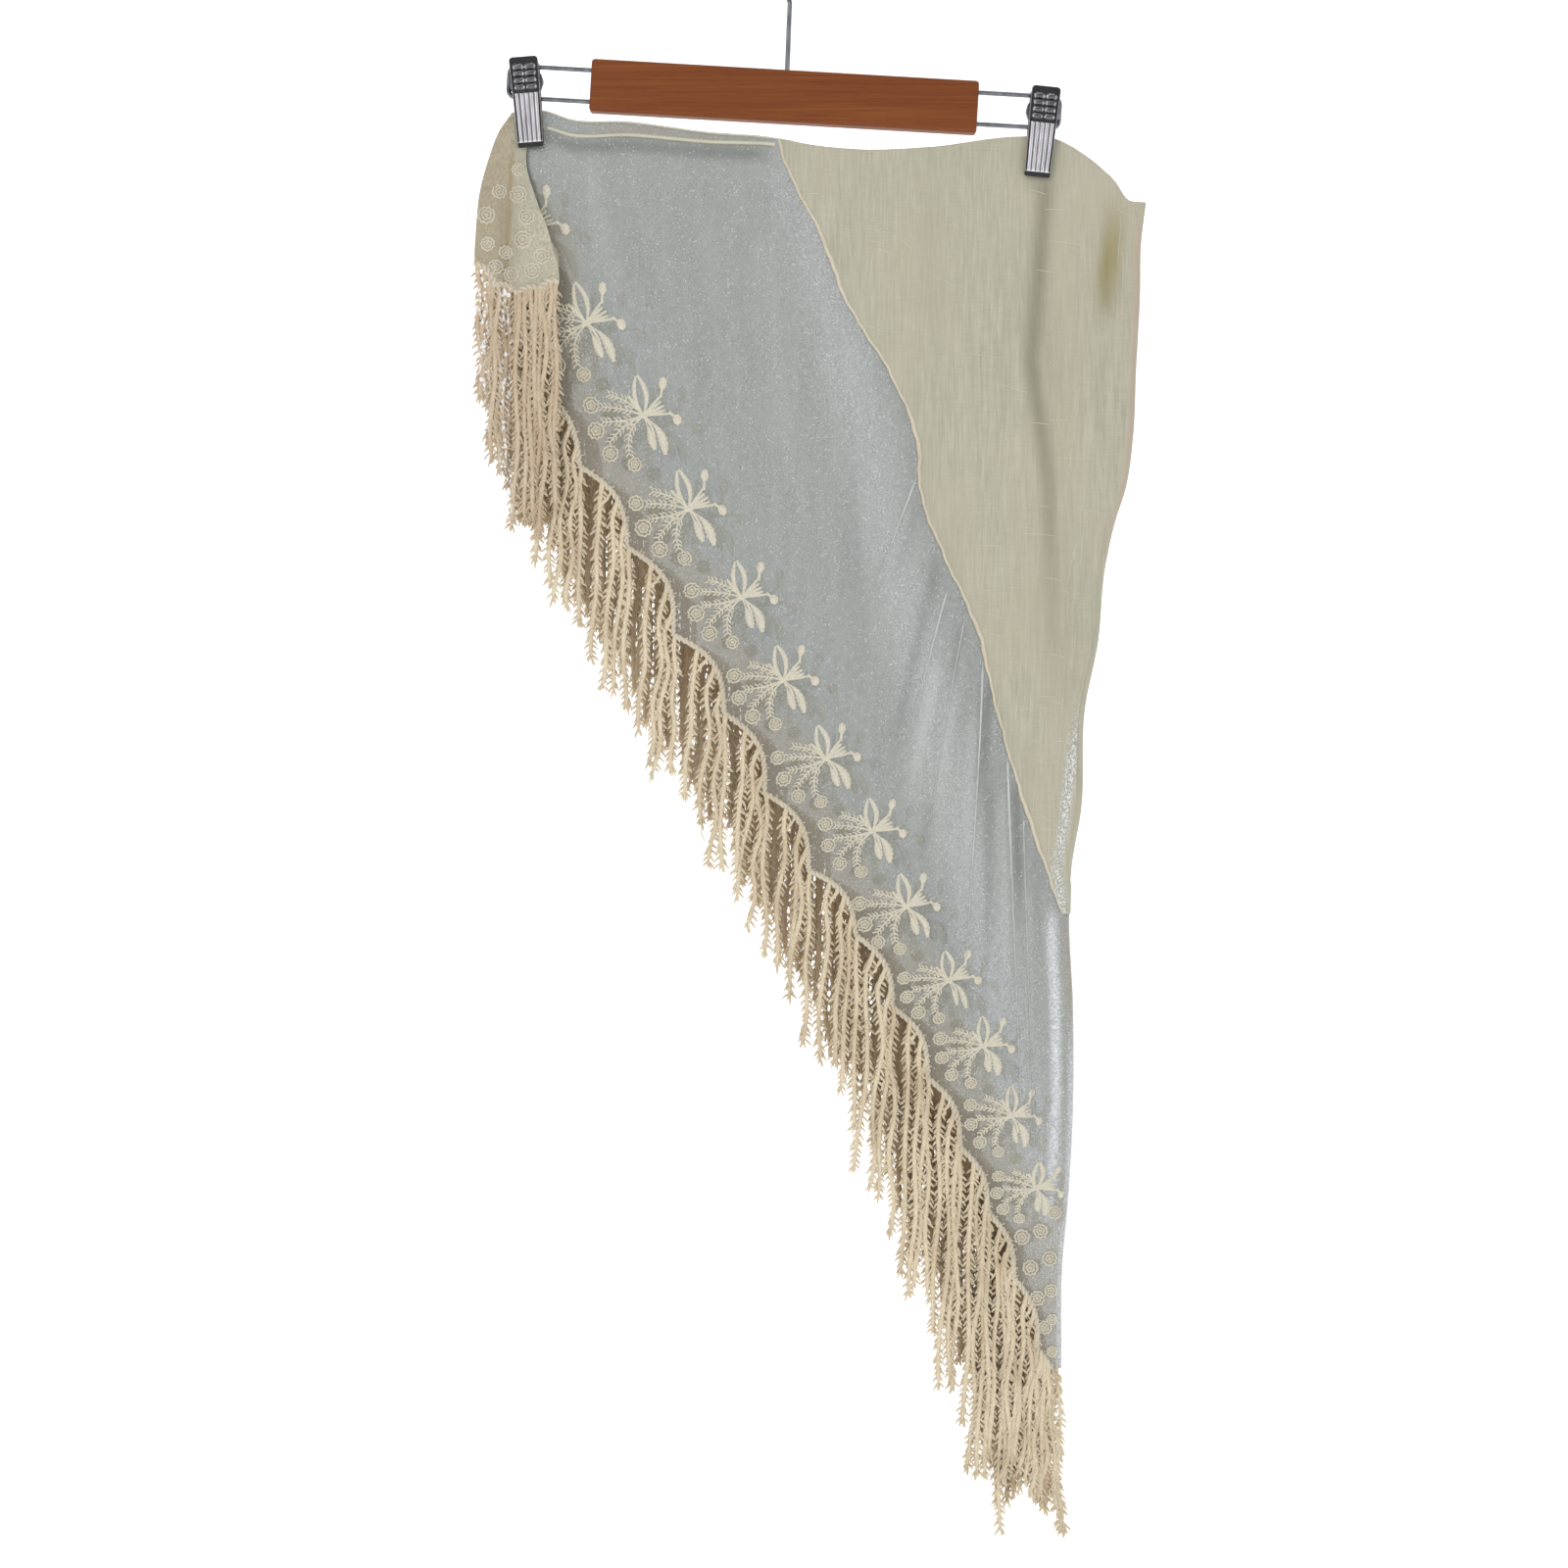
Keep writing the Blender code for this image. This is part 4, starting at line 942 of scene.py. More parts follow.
def net_cloth(mat):
    """The net chevron: two layers beside the woven panel, joined by a fold below it."""
    sheet = Sheet()
    rows = {}
    steps = FINE * (len(HEM) - 1)
    for layer in LAYERS:
        rows[layer.side] = []
        for r in range(steps + 1):
            s = r / FINE
            level = level_at(s)
            hem_x, hem_z = hem_at(layer.hem, s)
            closed = s > WOVEN_FOOT_S
            end_x = fold_points(level)[0][0].x if closed else seam_x(level) - SEAM_GAP / 2
            inner_x = end_x
            if closed:
                inner_x = mix(seam_x(WOVEN_FOOT_Z), end_x, ease((WOVEN_FOOT_Z - level) / NET_WIDENS))
            top_fade = max(0, 1 - s / 2) ** 2
            row = []
            for i in range(NET_ACROSS + 1):
                u = i / NET_ACROSS
                rise = top_z(mix(HEM[0].x, SEAM[0].x, u)) - mix(HEM[0].z, SEAM[0].z, u)
                last = (i - NET_ACROSS + NET_SPREAD) / NET_SPREAD
                x = mix(hem_x, inner_x, u) + (end_x - inner_x) * max(0, last)
                z = mix(hem_z, level, u) + rise * top_fade
                tone = net_tone(x, z, (end_x - hem_x) * u)
                row.append(sheet.put((x, layer.depth(x, z), z), (0, layer.side, 0), tone))
            rows[layer.side].append(row)
        sheet.weave(rows[layer.side], layer.side)
    foot = int(WOVEN_FOOT_S * FINE)
    corner_z = WOVEN_FOOT_Z - SEAM_GAP
    above = (rows[-1][foot][-1], rows[1][foot][-1])
    for i in above:
        sheet.points[i].z = corner_z

    def bend(points):
        return [sheet.put(p, out, net_tone(p.x, p.z, FOLD_FROM_HEM)) for p, out in points]

    head = bend(fold_points(corner_z))
    grid = [head]
    for r in range(foot + 1, steps + 1):
        middle = bend(fold_points(level_at(r / FINE))[1:-1])
        grid.append([rows[-1][r][-1], *middle, rows[1][r][-1]])
    sheet.faces.append((above[0], grid[1][0], head[0]))
    sheet.faces.append((above[1], head[-1], grid[1][-1]))
    sheet.weave(grid)
    piece, area = sheet.finish("net_cloth", mat, "net")
    piece.visible_shadow = False  # sheer net lets the light through
    return piece, area


def net_ridges(mat):
    """The fine bright creases of the net."""
    form = Form()
    for ridge in RIDGES:
        route = []
        half = []
        steps = 30
        for i in range(steps + 1):
            t = i / steps
            head, mid, foot = (1 - t) ** 2, 2 * t * (1 - t), t * t
            mid_x = 2 * ridge.mid_x - (ridge.head_x + ridge.foot_x) / 2
            mid_z = 2 * ridge.mid_z - (ridge.head_z + ridge.foot_z) / 2
            x = head * ridge.head_x + mid * mid_x + foot * ridge.foot_x
            z = head * ridge.head_z + mid * mid_z + foot * ridge.foot_z
            route.append((x, front_y(x, z) - THIN, z))
            half.append(ridge.half * mix(1.1, 0.3, t) * ease((t + 0.06) / 0.2))
        tube(form, route, half, 0.5)
    return form.piece("net_ridges", [mat], "net")


def woven_tone(x, z):
    """Pinkish roll at the fold, painted shade in the trough and under the right clip, yellowish painted
    shade in the hollow beside it, and a silver strip whose glitter is painted.
    """
    inside = edge_x(z) - x
    pink = near(inside, 3, 5) * ease((-190 - z) / 20) * ease((z + 470) / 120)
    trough_x = float(np.interp(-z, (172, 243, 291, 330, 368, 500), (168, 162, 158, 163, 169, 174)))
    # Painted shade in the trough, and the right clip's painted shadow below it
    dark = 0.65 * near(x, trough_x, 9.5) * ease((-160 - z) / 20) * ease((z + 560) / 260)
    under_clip = 0.45 * near(x, CLIPS[1].tip_x + 2, 15) * near(z, CLIPS[1].tip_z - 3, 18)
    hollow_x = mix(213, 203, (-195 - z) / 75)
    # Yellowish painted shade in the hollow beside the fold
    yellow = 0.92 * near(x, hollow_x, 12) * near(z, -224, 52)
    strip_x = float(np.interp(-z, (528, 592, 624, 640), (187, 179, 174, 177)))
    silver = near(x, strip_x, 6) * ease((-500 - z) / 60)
    return 0.8 * pink, max(dark, under_clip), yellow - 0.85 * silver


def woven_cloth(mat):
    """The uneven triangle: front layer, rounded fold at the right edge, back layer. Below its
    foot the point lies a little above the net."""
    sheet = Sheet()
    grid = []

    def add_row(flat, fold, lift=0):
        front, back = ([(x, LAYERS[k].depth(x, z), z) for x, z in flat] for k in (0, 1))
        row = [sheet.put((x, y - lift, z), (0, -1, 0), woven_tone(x, z)) for x, y, z in front]
        row += [sheet.put(p + out * lift, out, woven_tone(p.x, p.z)) for p, out in fold]
        row += [sheet.put((x, y + lift, z), (0, 1, 0), woven_tone(x, z)) for x, y, z in back[::-1]]
        grid.append(row)

    head_z, fold_z = SEAM_LEVELS[0], FOLD_EDGE[0].z
    head_start = seam_x(head_z) + SEAM_GAP / 2
    head_end = fold_points(fold_z)[0][0].x
    for r in range(int(WOVEN_FOOT_S * FINE) + 1):
        level = level_at(r / FINE)
        share = (SEAM[0].z - level) / (SEAM[0].z - WOVEN_FOOT_Z)
        end_z = mix(fold_z, WOVEN_FOOT_Z, share)
        fold = fold_points(end_z)
        start_x = seam_x(level) + SEAM_GAP / 2
        flat = []
        for i in range(WOVEN_ACROSS):
            u = 1 - (1 - i / WOVEN_ACROSS) ** WOVEN_CROWD
            rise = top_z(mix(head_start, head_end, u)) - mix(head_z, fold_z, u)
            flat.append((mix(start_x, fold[0][0].x, u), mix(level, end_z, u) + rise * (1 - share) ** 2))
        add_row(flat, fold)
    for drop in POINT_DROPS:
        level = WOVEN_FOOT_Z - drop
        fold = fold_points(level)
        last_x = fold[0][0].x
        start_x = min(seam_x(level) + SEAM_GAP / 2, last_x - 0.2)
        flat = [(mix(start_x, last_x, i / WOVEN_ACROSS), level) for i in range(WOVEN_ACROSS)]
        add_row(flat, fold, POINT_LIFT * min(1, drop / 4))
    sheet.weave(grid)
    return sheet.finish("woven_cloth", mat, "woven")


def end_cloth(end, mat):
    """An acute end of the scarf, falling from the clip to its own scalloped hem."""
    sheet = Sheet()
    columns = END_FINE * (len(end.hem) - 1)
    head, foot = END_SIDES[0], END_SIDES[-1]
    grid = []
    for r in range(END_ROWS + 1):
        share = r / END_ROWS
        row = []
        for i in range(columns + 1):
            hem_x, hem_z = hem_at(end.hem, i / END_FINE)
            z = mix(head.z, hem_z, share)
            level = mix(head.z, foot.z, share)
            sides_x = mix(end_left(level), end_right(level), i / columns) + end.shift.x * share
            x = mix(sides_x, hem_x, ease((share - 0.8) / 0.2))
            valley_x = mix(-180, -184, (-140 - z) / 90) + end.shift.x
            # Painted shade along the valley fold, and over the part left of it
            valley_shade = 0.75 * near(x, valley_x, 4.5) * ease((-135 - z) / 30)
            valley_shade = max(valley_shade, 0.42 * ease((valley_x + 2 - x) / 6))
            rough = 0.7 * noise.noise(Vector((x * 0.09, 3, z * 0.03)))
            y = end.depth(x, z) + end.side * rough
            row.append(sheet.put((x, y, z), (0, end.side, 0), (valley_shade, 0, 0)))
        grid.append(row)
    sheet.weave(grid, end.side)
    return sheet.finish(f"end_cloth_{SIDE_NAMES[end.side]}", mat, "net")


class Stitcher:
    """Lays stitched forms on a cloth: places are in a motif's own frame, or in the row frame."""

    def __init__(self, form, depth, draw):
        self.form = form
        self.depth = depth
        self.draw = draw
        self.place(Place(0, 0), Place(1, 0), 1)
        self.plain()

    def plain(self):
        self.at = Place(0, 0)
        self.along = (1, 0)
        self.across = (0, 1)

    def place(self, knot, following, size):
        """The frame of a bow whose next knot is given."""
        dx, dz = following.x - knot.x, following.z - knot.z
        pitch = math.hypot(dx, dz)
        stretch = pitch / BOW_PITCH
        self.at = knot
        self.along = (dx / pitch * stretch, dz / pitch * stretch)
        self.across = (-dz / pitch * size, dx / pitch * size)

    def spot(self, along, across, lift=0):
        x = self.at.x + self.along[0] * along + self.across[0] * across
        z = self.at.z + self.along[1] * along + self.across[1] * across
        x = min(x, edge_x(z) - EDGE_MARGIN)
        return x, self.depth(x, z) - lift, z

    def band(self, points, half, high=1, sides=6, closed=False, tone=stitch_tone):
        route = [self.spot(a, c) for a, c in points]
        tube(self.form, route, half, EMBROIDERY_HIGH * high, sides, closed, tone)

    def arc(self, along, across, bulge, steps):
        """Points from the knot to a place, bulging to the inside."""
        length = math.hypot(along, across)
        side = (-across / length, along / length)
        if side[1] < 0:
            side = (-side[0], -side[1])
        points = []
        for i in range(steps + 1):
            t = i / steps
            swing = bulge * math.sin(math.pi * t)
            points.append((along * t + side[0] * swing, across * t + side[1] * swing))
        return points

    def leaf(self, leaf):
        """A satin leaf with jagged sides, on a thin stem."""
        steps = 18
        points = self.arc(leaf.along, leaf.across, leaf.bulge, steps)
        half = []
        for i in range(steps + 1):
            t = i / steps
            grown = max(0, (t - leaf.stem) / (1 - leaf.stem))
            jag = 1 + 0.13 * (-1) ** i
            swell = math.sin(math.pi * min(grown**1.35, 0.93)) ** 0.75
            half.append((0.6 + (leaf.half - 0.5) * swell) * jag)
        self.band(points, half, 0.9)

    def oval(self, along, across, half, long, turn, high=1.1, dark=0):
        """A padded oval with a jagged stitched rim, painted shaded along its rim; dark paints shade
        over all of it.
        """
        c, s = math.cos(math.radians(turn)), math.sin(math.radians(turn))
        rings = []
        count = 14
        for level in (-1, -0.55, 0, 0.55, 1):
            shrink = math.sqrt(max(0, 1 - level * level)) * 0.85 + 0.15
            ring = []
            for i in range(count):
                angle = 2 * math.pi * i / count
                jag = shrink * (1 + 0.07 * math.cos(angle * count / 2))
                a = long * math.cos(angle) * jag
                b = half * math.sin(angle) * jag
                lift = EMBROIDERY_HIGH * high * level
                ring.append(self.spot(along + a * c - b * s, across + a * s + b * c, lift))
            rings.append(ring)
        # Painted shade: the rim ring darker, and all of it as dark as asked
        tones = [(max(dark, 0.6 if r == 2 else 0.1), 0, 0) for r in range(5) for _ in range(count)]
        skin(self.form, rings, tones=tones)

    def stalk(self, stalk):
        """A stem from the bell's mouth to a bud."""
        start = Vector((stalk.from_along, stalk.from_across))
        end = Vector((stalk.along, stalk.across))
        points = [tuple(start.lerp(end, i / 6)) for i in range(7)]
        self.band(points, [mix(1.2, 0.7, i / 6) for i in range(7)])
        self.oval(stalk.along, stalk.across, stalk.half, stalk.long, stalk.turn)

    def fern(self, fern):
        """A stem with barbs that point forwards on both sides."""
        points = self.arc(fern.along, fern.across, fern.bulge, 20)
        self.band(points, [mix(0.85, 0.6, i / 20) for i in range(21)], 1.1, tone=flat_tone)
        for i in (6, 8, 11, 13, 16, 18, 20):
            here = Vector(points[i])
            run = (Vector(points[i]) - Vector(points[i - 1])).normalized()
            normal = Vector((-run.y, run.x))
            for side in (-1, 1):
                length = self.draw.uniform(4.2, 5.4) * (1 - 0.2 * i / 20)
                tip = here + run * length * 0.66 + normal * side * length * 0.7
                bend = here + run * length * 0.25 + normal * side * length * 0.42
                barb = [tuple(here), tuple(bend), tuple(tip)]
                self.band(barb, (0.5, 0.72, 0.45), 1.2, 5, tone=flat_tone)

    def rose(self, along, across, radius):
        """A round flower of three rings of petals over a low disc, which has painted shade between the
        rings.
        """
        self.oval(along, across, radius * 0.95, radius * 0.95, 0, 0.5, 0.9)
        phase = self.draw.uniform(0, 6.28)
        for share, petals, half in ((0.84, 9, 0.8), (0.47, 5, 0.66), (0.12, 3, 0.6)):
            points = []
            for i in range(20):
                angle = 2 * math.pi * i / 20
                r = radius * share * (1 + 0.13 * math.sin(petals * angle + phase))
                points.append((along + r * math.cos(angle), across + r * math.sin(angle)))
            self.band(points, half, 1.3, 6, True)
            phase += 1.7

    def bow(self, full):
        """A bow, with the ferns and roses on its outer side if it is a full one."""
        for leaf in LEAVES + BELL:
            self.leaf(leaf)
        for stalk in STALKS:
            self.stalk(stalk)
        if not full:
            return
        for fern in FERNS:
            self.fern(fern)
        for rose in ROSES:
            self.rose(rose.along, rose.across, rose.radius * self.draw.uniform(0.93, 1.05))
        self.rose(*BUD)
        self.oval(0, 0, 2.4, 3.4, 60)


def embroidery(layer, mat, seed):
    """The border of bows, ferns and roses along one layer's hem."""
    form = Form()
    stitcher = Stitcher(form, layer.depth, random.Random(seed))
    knots = moved(KNOTS, layer.shift)
    for i, (knot, following) in enumerate(zip(knots, knots[1:])):
        size = float(np.interp(i, (0, 9, 12), (1, 0.88, 0.78)))
        stitcher.place(knot, following, size)
        stitcher.bow(full=i > 0)
    stitcher.plain()
    for bloom in POINT_BLOOMS:
        x = bloom.x + layer.shift.x * ease((bloom.z + 940) / 80) * 0.3
        x = min(x, edge_x(bloom.z) - bloom.radius - 3)
        stitcher.rose(x, bloom.z, bloom.radius)
    return form.piece(f"embroidery_{layer.name}", [mat], "yarn")


def end_embroidery(end, mat, seed):
    """Roses on a turned-down end."""
    form = Form()
    stitcher = Stitcher(form, end.depth, random.Random(seed))
    for bloom in moved(END_BLOOMS, end.shift):
        stitcher.rose(*bloom)
    return form.piece(f"embroidery_{end.name}", [mat], "yarn")


def cord_along(form, route, half, draw, lump=0.12):
    """A corded edge, a little uneven."""
    sizes = [half * (1 + draw.uniform(-lump, lump)) for _ in route]
    tube(form, route, sizes, sides=8, tone=stitch_tone)


def twist_along(form, route, half, pitch):
    """A cord of two yarns twisted round each other."""
    route = np.array(route, float)
    steps = np.linalg.norm(np.diff(route, axis=0), axis=1)
    turn = 2 * math.pi * np.concatenate(([0], np.cumsum(steps))) / pitch
    run = np.gradient(route, axis=0)
    across = np.stack((-run[:, 2], np.zeros(len(route)), run[:, 0]), axis=1)
    across /= np.linalg.norm(across, axis=1)[:, None] + 1e-9
    for side in (-1, 1):
        ply = route + across * (side * 0.55 * half * np.sin(turn))[:, None]
        ply[:, 1] += side * 0.4 * half * np.cos(turn)
        tube(form, ply, half * 0.68, sides=7, tone=stitch_tone)


def hem_cord(layer, mat, seed):
    """The bound edge of a scalloped hem, with a row of short stitches inside it."""
    form = Form()
    draw = random.Random(seed)
    steps = range(CORD_FINE * layer.corded_from, CORD_FINE * (len(layer.hem) - 1) + 1)
    places = [hem_at(layer.hem, r / CORD_FINE) for r in steps]
    route = []
    for (x, z), (far_x, far_z) in zip(places, places[1:]):
        for share in (0, 0.5):
            near_x, near_z = mix(x, far_x, share), mix(z, far_z, share)
            route.append((near_x, layer.depth(near_x, near_z), near_z))
    twist_along(form, route, 1.9, 7.5)
    for (x, z), (far_x, far_z) in zip(places[::2], places[2::2]):
        run = Vector((far_x - x, far_z - z))
        if run.length < 1e-6:
            continue
        run.normalize()
        inward = Vector((-run.y, run.x))
        a = Vector((x, z)) + inward * 0.8
        b = a + inward * draw.uniform(1.8, 3) + run * draw.uniform(-0.8, 0.8)
        route = [(p.x, layer.depth(p.x, p.y), p.y) for p in (a, (a + b) / 2, b)]
        tube(form, route, (0.6, 0.6, 0.35), EMBROIDERY_HIGH, 6, False, stitch_tone)
    return form.piece(f"hem_cord_{layer.name}", [mat], "yarn")


def seam_cord(layer, mat, seed):
    """The corded seam between net and woven cloth, with small pulls."""
    form = Form()
    draw = random.Random(seed)
    route = []
    level = SEAM[0].z
    while level > SEAM[-1].z - 2:
        wander = 0.35 * math.sin(level * 0.21) + 0.25 * math.sin(level * 0.53 + 1)
        x = seam_x(level) + wander
        route.append((x, layer.depth(x, level), level))
        level -= 2.2
    sizes = [1 + 0.55 * max(0, math.sin(point[2] * 0.052 + 0.8)) for point in route]
    tube(form, route, sizes, sides=8, tone=stitch_tone)
    for x, y, z in route[::6]:
        reach = draw.uniform(2, 5)
        far_x = x + reach * draw.choice((-1, 1))
        far_z = z - reach * draw.uniform(0.1, 0.6)
        tube(form, [(x, y, z), (far_x, layer.depth(far_x, far_z), far_z)], (0.4, 0.2), sides=5)
    return form.piece(f"seam_cord_{layer.name}", [mat], "yarn")


def edge_rolls(mat_net, mat_woven):
    """The rolled top hem of the net, the ridge of its stitching, and the roll at the fold."""
    draw = random.Random(5)
    net = Form()
    for depth in (front_y, back_y):
        xs = np.linspace(*NET_ROLL, 76)
        cord_along(net, [(x, depth(x, top_z(x)), top_z(x) - 0.6) for x in xs], 0.55, draw, 0.1)
        ridge = []
        for x in xs:
            z = top_z(x) - mix(11, 4.5, (x - NET_ROLL[0]) / 150)
            ridge.append((x, depth(x, z), z))
        tube(net, ridge, 1.3, 0.45, 8)
    roll = Form()
    heights = np.linspace(*FOLD_ROLL, 130)
    for inset, half in ((1.9, 1.2), (6.6, 0.5)):
        route = []
        for z in heights:
            x = edge_x(z) - inset - 0.4 * math.sin(z * 0.05)
            route.append((x, front_y(x, z) if inset > 3 else (front_y(x, z) + back_y(x, z)) / 2, z))
        cord_along(roll, route, half, draw, 0.12)
    for depth in (front_y, back_y):
        top = [(x, depth(x, top_z(x)), top_z(x) - 0.4) for x in np.linspace(*WOVEN_ROLL, 110)]
        cord_along(roll, top, 0.7, draw, 0.1)
    return (
        net.piece("net_top_hem", [mat_net], "net"),
        roll.piece("woven_edge_roll", [mat_woven], "woven"),
    )


def barbs(form, bases, runs, lengths, half, shades):
    """Short fibres that taper from a base along a direction and droop a little."""
    sides = 4
    across = np.cross(runs, (0, 0, 1))
    across /= np.linalg.norm(across, axis=1)[:, None] + 1e-6
    up = np.cross(across, runs)
    turn = 2 * math.pi * np.arange(sides) / sides
    rings = []
    for share, width, drop in ((0, 0.85, 0), (0.55, 1, 0.04), (1, 0.42, 0.16)):
        centre = bases + runs * (lengths * share)[:, None]
        centre[:, 2] -= lengths * drop
        ring = (
            centre[:, None, :]
            + across[:, None, :] * (half * width * np.cos(turn))[None, :, None]
            + up[:, None, :] * (half * width * np.sin(turn))[None, :, None]
        )
        rings.append(ring)
    for fibre, shade in zip(np.stack(rings, axis=1).tolist(), shades):
        tones = [(shade * k, 0, 0) for k in (1, 0.6, 0.4) for _ in range(sides)]
        skin(form, fibre, tones=tones)


def strand(form, root, foot, draw, tone, half, barb_step=FRONT_YARN.barb_step, loose=1):
    """One barbed yarn from its root on the hem to its foot. A barb step of 0 leaves it bare."""
    root = np.array(root, float)
    foot = np.array(foot, float)
    length = float(np.linalg.norm(foot - root))
    steps = max(4, int(length / STRAND_STEP))
    t = np.linspace(0, 1, steps + 1)
    fall = np.minimum(1, t * length / 14)
    route = root + (foot - root) * t[:, None]
    route[:, 0] = root[0] + (foot[0] - root[0]) * np.maximum(t, fall * 0.35)
    waves = draw.uniform(1.2, 2.4)
    phase = draw.uniform(0, 6.28)
    sway = loose * draw.uniform(0.5, 1.9)
    route[:, 0] += fall * sway * np.sin(2 * math.pi * waves * t + phase)
    route[:, 1] += fall * 0.8 * np.sin(2 * math.pi * waves * 0.8 * t + phase * 2)
    size = half * (1 + 0.16 * np.sin(np.arange(steps + 1) * 2.1 + phase))
    size *= np.clip((1 - t) * length / 5 + 0.35, 0.35, 1)
    tube(form, route, size, sides=6, tone=tone)
    if barb_step <= 0:
        return
    bases = []
    runs = []
    lengths = []
    places = []
    along = 5
    while along < length - 1:
        place = along / length
        centre = np.array([np.interp(place, t, route[:, k]) for k in range(3)])
        for side in (-1, 1):
            turn = side * math.pi / 2 + draw.uniform(-0.7, 0.7)
            drop = BARB_DROP + draw.uniform(-0.25, 0.25)
            flat = math.cos(drop)
            run = np.array((math.sin(turn) * flat, -math.cos(turn) * flat, -math.sin(drop)))
            bases.append(centre + run * half * 0.4 + np.array((0, 0, draw.uniform(-0.8, 0.8))))
            runs.append(run)
            lengths.append(half * 0.6 + BARB_LENGTH * draw.uniform(0.65, 1.1))
            places.append(place)
        along += barb_step * draw.uniform(0.85, 1.15)
    for _ in range(5):
        turn = draw.uniform(0, 6.28)
        run = np.array((math.sin(turn) * 0.4, -math.cos(turn) * 0.4, -0.9))
        bases.append(route[-1] + (0, 0, draw.uniform(0, 4)))
        runs.append(run / np.linalg.norm(run))
        lengths.append(BARB_LENGTH * draw.uniform(0.8, 1.5))
        places.append(1)
    shades = [tone(run, place)[0] for run, place in zip(runs, places)]
    barbs(form, np.array(bases), np.array(runs), np.array(lengths), BARB_HALF, shades)


def even_roots(lobes, scallop, count):
    """Shares of a scallop at which strands hang evenly spaced across."""
    shares = np.linspace(0, 0.999, 33)
    xs = np.maximum.accumulate([hem_at(lobes, scallop + share)[0] for share in shares])
    return np.interp(np.linspace(xs[0], xs[-1], count, endpoint=False), xs, shares)


def fringe(layer, mat, seed):
    """Strands along a scalloped hem, with a short second leg at each scallop's middle. The back
    layer's are thicker and closer."""
    form = Form()
    draw = random.Random(seed)
    back = layer.side > 0
    half, barb_step, loose = BACK_YARN if back else FRONT_YARN
    roots, count = (FRONT_ROOTS, BACK_STRANDS) if layer.lean else (END_ROOTS, END_BACK_STRANDS)
    first = next(k for k, lobe in enumerate(layer.hem) if lobe.strand)
    lobes = layer.hem[first:]
    for scallop in range(len(lobes) - 1):
        here, following = lobes[scallop], lobes[scallop + 1]
        for share in even_roots(lobes, scallop, count) if back else roots:
            station = scallop * STATIONS + STATIONS * share
            length = mix(here.strand, following.strand or here.strand, share)
            length *= 1 + 0.08 * math.sin(5.1 * station)
            x, z = hem_at(lobes, scallop + share)
            y = layer.depth(x, z)
            foot_x = (x if back else mix(here.x, following.x, share)) - layer.lean
            foot_x += loose * draw.gauss(0, 2)
            foot_y = y + draw.uniform(-1.5, 1.5)
            foot_z = mix(here.z, following.z, share) - length * draw.uniform(0.93, 1.02)
            foot = (foot_x, foot_y, foot_z)
            strand(form, (x, y, z), foot, draw, layer.tone, half, barb_step, loose)
        leg_x, leg_z = hem_at(lobes, scallop + roots[1] + LEG_ASIDE)
        leg = (leg_x, layer.depth(leg_x, leg_z), leg_z)
        x, z = hem_at(lobes, scallop + roots[1])
        join = (x - layer.lean * 0.6, layer.depth(x, z), z - LEG_LENGTH)
        strand(form, leg, join, draw, layer.tone, LEG_HALF, 0)
    if layer == LAYERS[0]:
        special_strands(form, draw, layer.tone)
    piece = form.piece(f"fringe_yarn_{layer.name}", [mat], "yarn")
    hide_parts(f"fringe_{layer.name}")
    return piece


def special_strands(form, draw, tone):
    """The long strand, the loose thread, and the knotted bundle at the scarf's point."""
    root, foot = LONG_STRAND
    strand(form, (root.x, front_y(*root), root.z), (foot.x, -2, foot.z), draw, tone, 1.4)
    strand(form, *LOOSE_THREAD, draw, tone, 0.45, 0)
    root, foot = BUNDLE
    for offset in BUNDLE_OFFSETS:
        start = (root.x + offset, offset * 0.3, root.z)
        strand(form, start, (foot.x + offset * 0.4, 0, foot.z), draw, tone, 1.25)
    for _ in range(3):
        tip = (foot.x + draw.uniform(-2.5, 3.5), draw.uniform(-1, 1), foot.z - 9)
        strand(form, (foot.x, 0, foot.z + 2), tip, draw, tone, 1.5)


def jaw_out(z, tip_out):
    """Distance of a jaw's inner face from the middle plane."""
    if z > JAW_KNEE_Z:
        return mix(JAW_KNEE_OUT, JAW_TOP_OUT, (z - JAW_KNEE_Z) / (JAW_HALF_LENGTH - JAW_KNEE_Z))
    return mix(JAW_KNEE_OUT, tip_out, (JAW_KNEE_Z - z) / (JAW_KNEE_Z + JAW_HALF_LENGTH))


def jaw_relief(u, z):
    """Rise of a jaw's face, which material it has (0 chrome, 1 black, 2 rubber), and how dark it is
    painted: painted shade in the grooves between ribs, and a painted reflection on each bump, dark in
    the middle with light ends."""
    rim = ease((abs(u - 0.5) - 0.455) / 0.02)
    if z < -JAW_HALF_LENGTH + 3.2:
        return 0.1, 2, 0
    if z < JAW_KNEE_Z - 1:
        rib = abs(math.sin(math.pi * RIBS * min(max((u - 0.06) / 0.88, 0), 1)))
        # Painted shade in the grooves between the ribs
        painted_dark = max(0, 1 - 1.6 * rib) * (1 - rim)
        return max(RIB_RISE * rib**0.6, rim * 0.8), 0, painted_dark
    row = (z - JAW_KNEE_Z - 0.6) / BUMP_PITCH
    column = (u - 0.08) / 0.84 * BUMP_COLUMNS
    if 0 < row < BUMP_ROWS and 0 < column < BUMP_COLUMNS:
        across = (column % 1 - 0.5) * 2.15
        upright = (row % 1 - 0.5) * 2.5
        inside = 1 - (abs(across) ** 2.6 + abs(upright) ** 2.6)
        if inside > 0:
            # A painted reflection on each bump: dark in its middle, with painted highlights at its ends
            glow = max(ease((abs(across) - 0.6) / 0.2), 0.3 * ease((upright - 0.3) / 0.3))
            return BUMP_RISE * inside**0.5 + 0.1, 0, mix(0.8, 0.15, glow)
    if rim > 0.5:
        return 0.7, 0, 0.3
    return 0, 1, 1


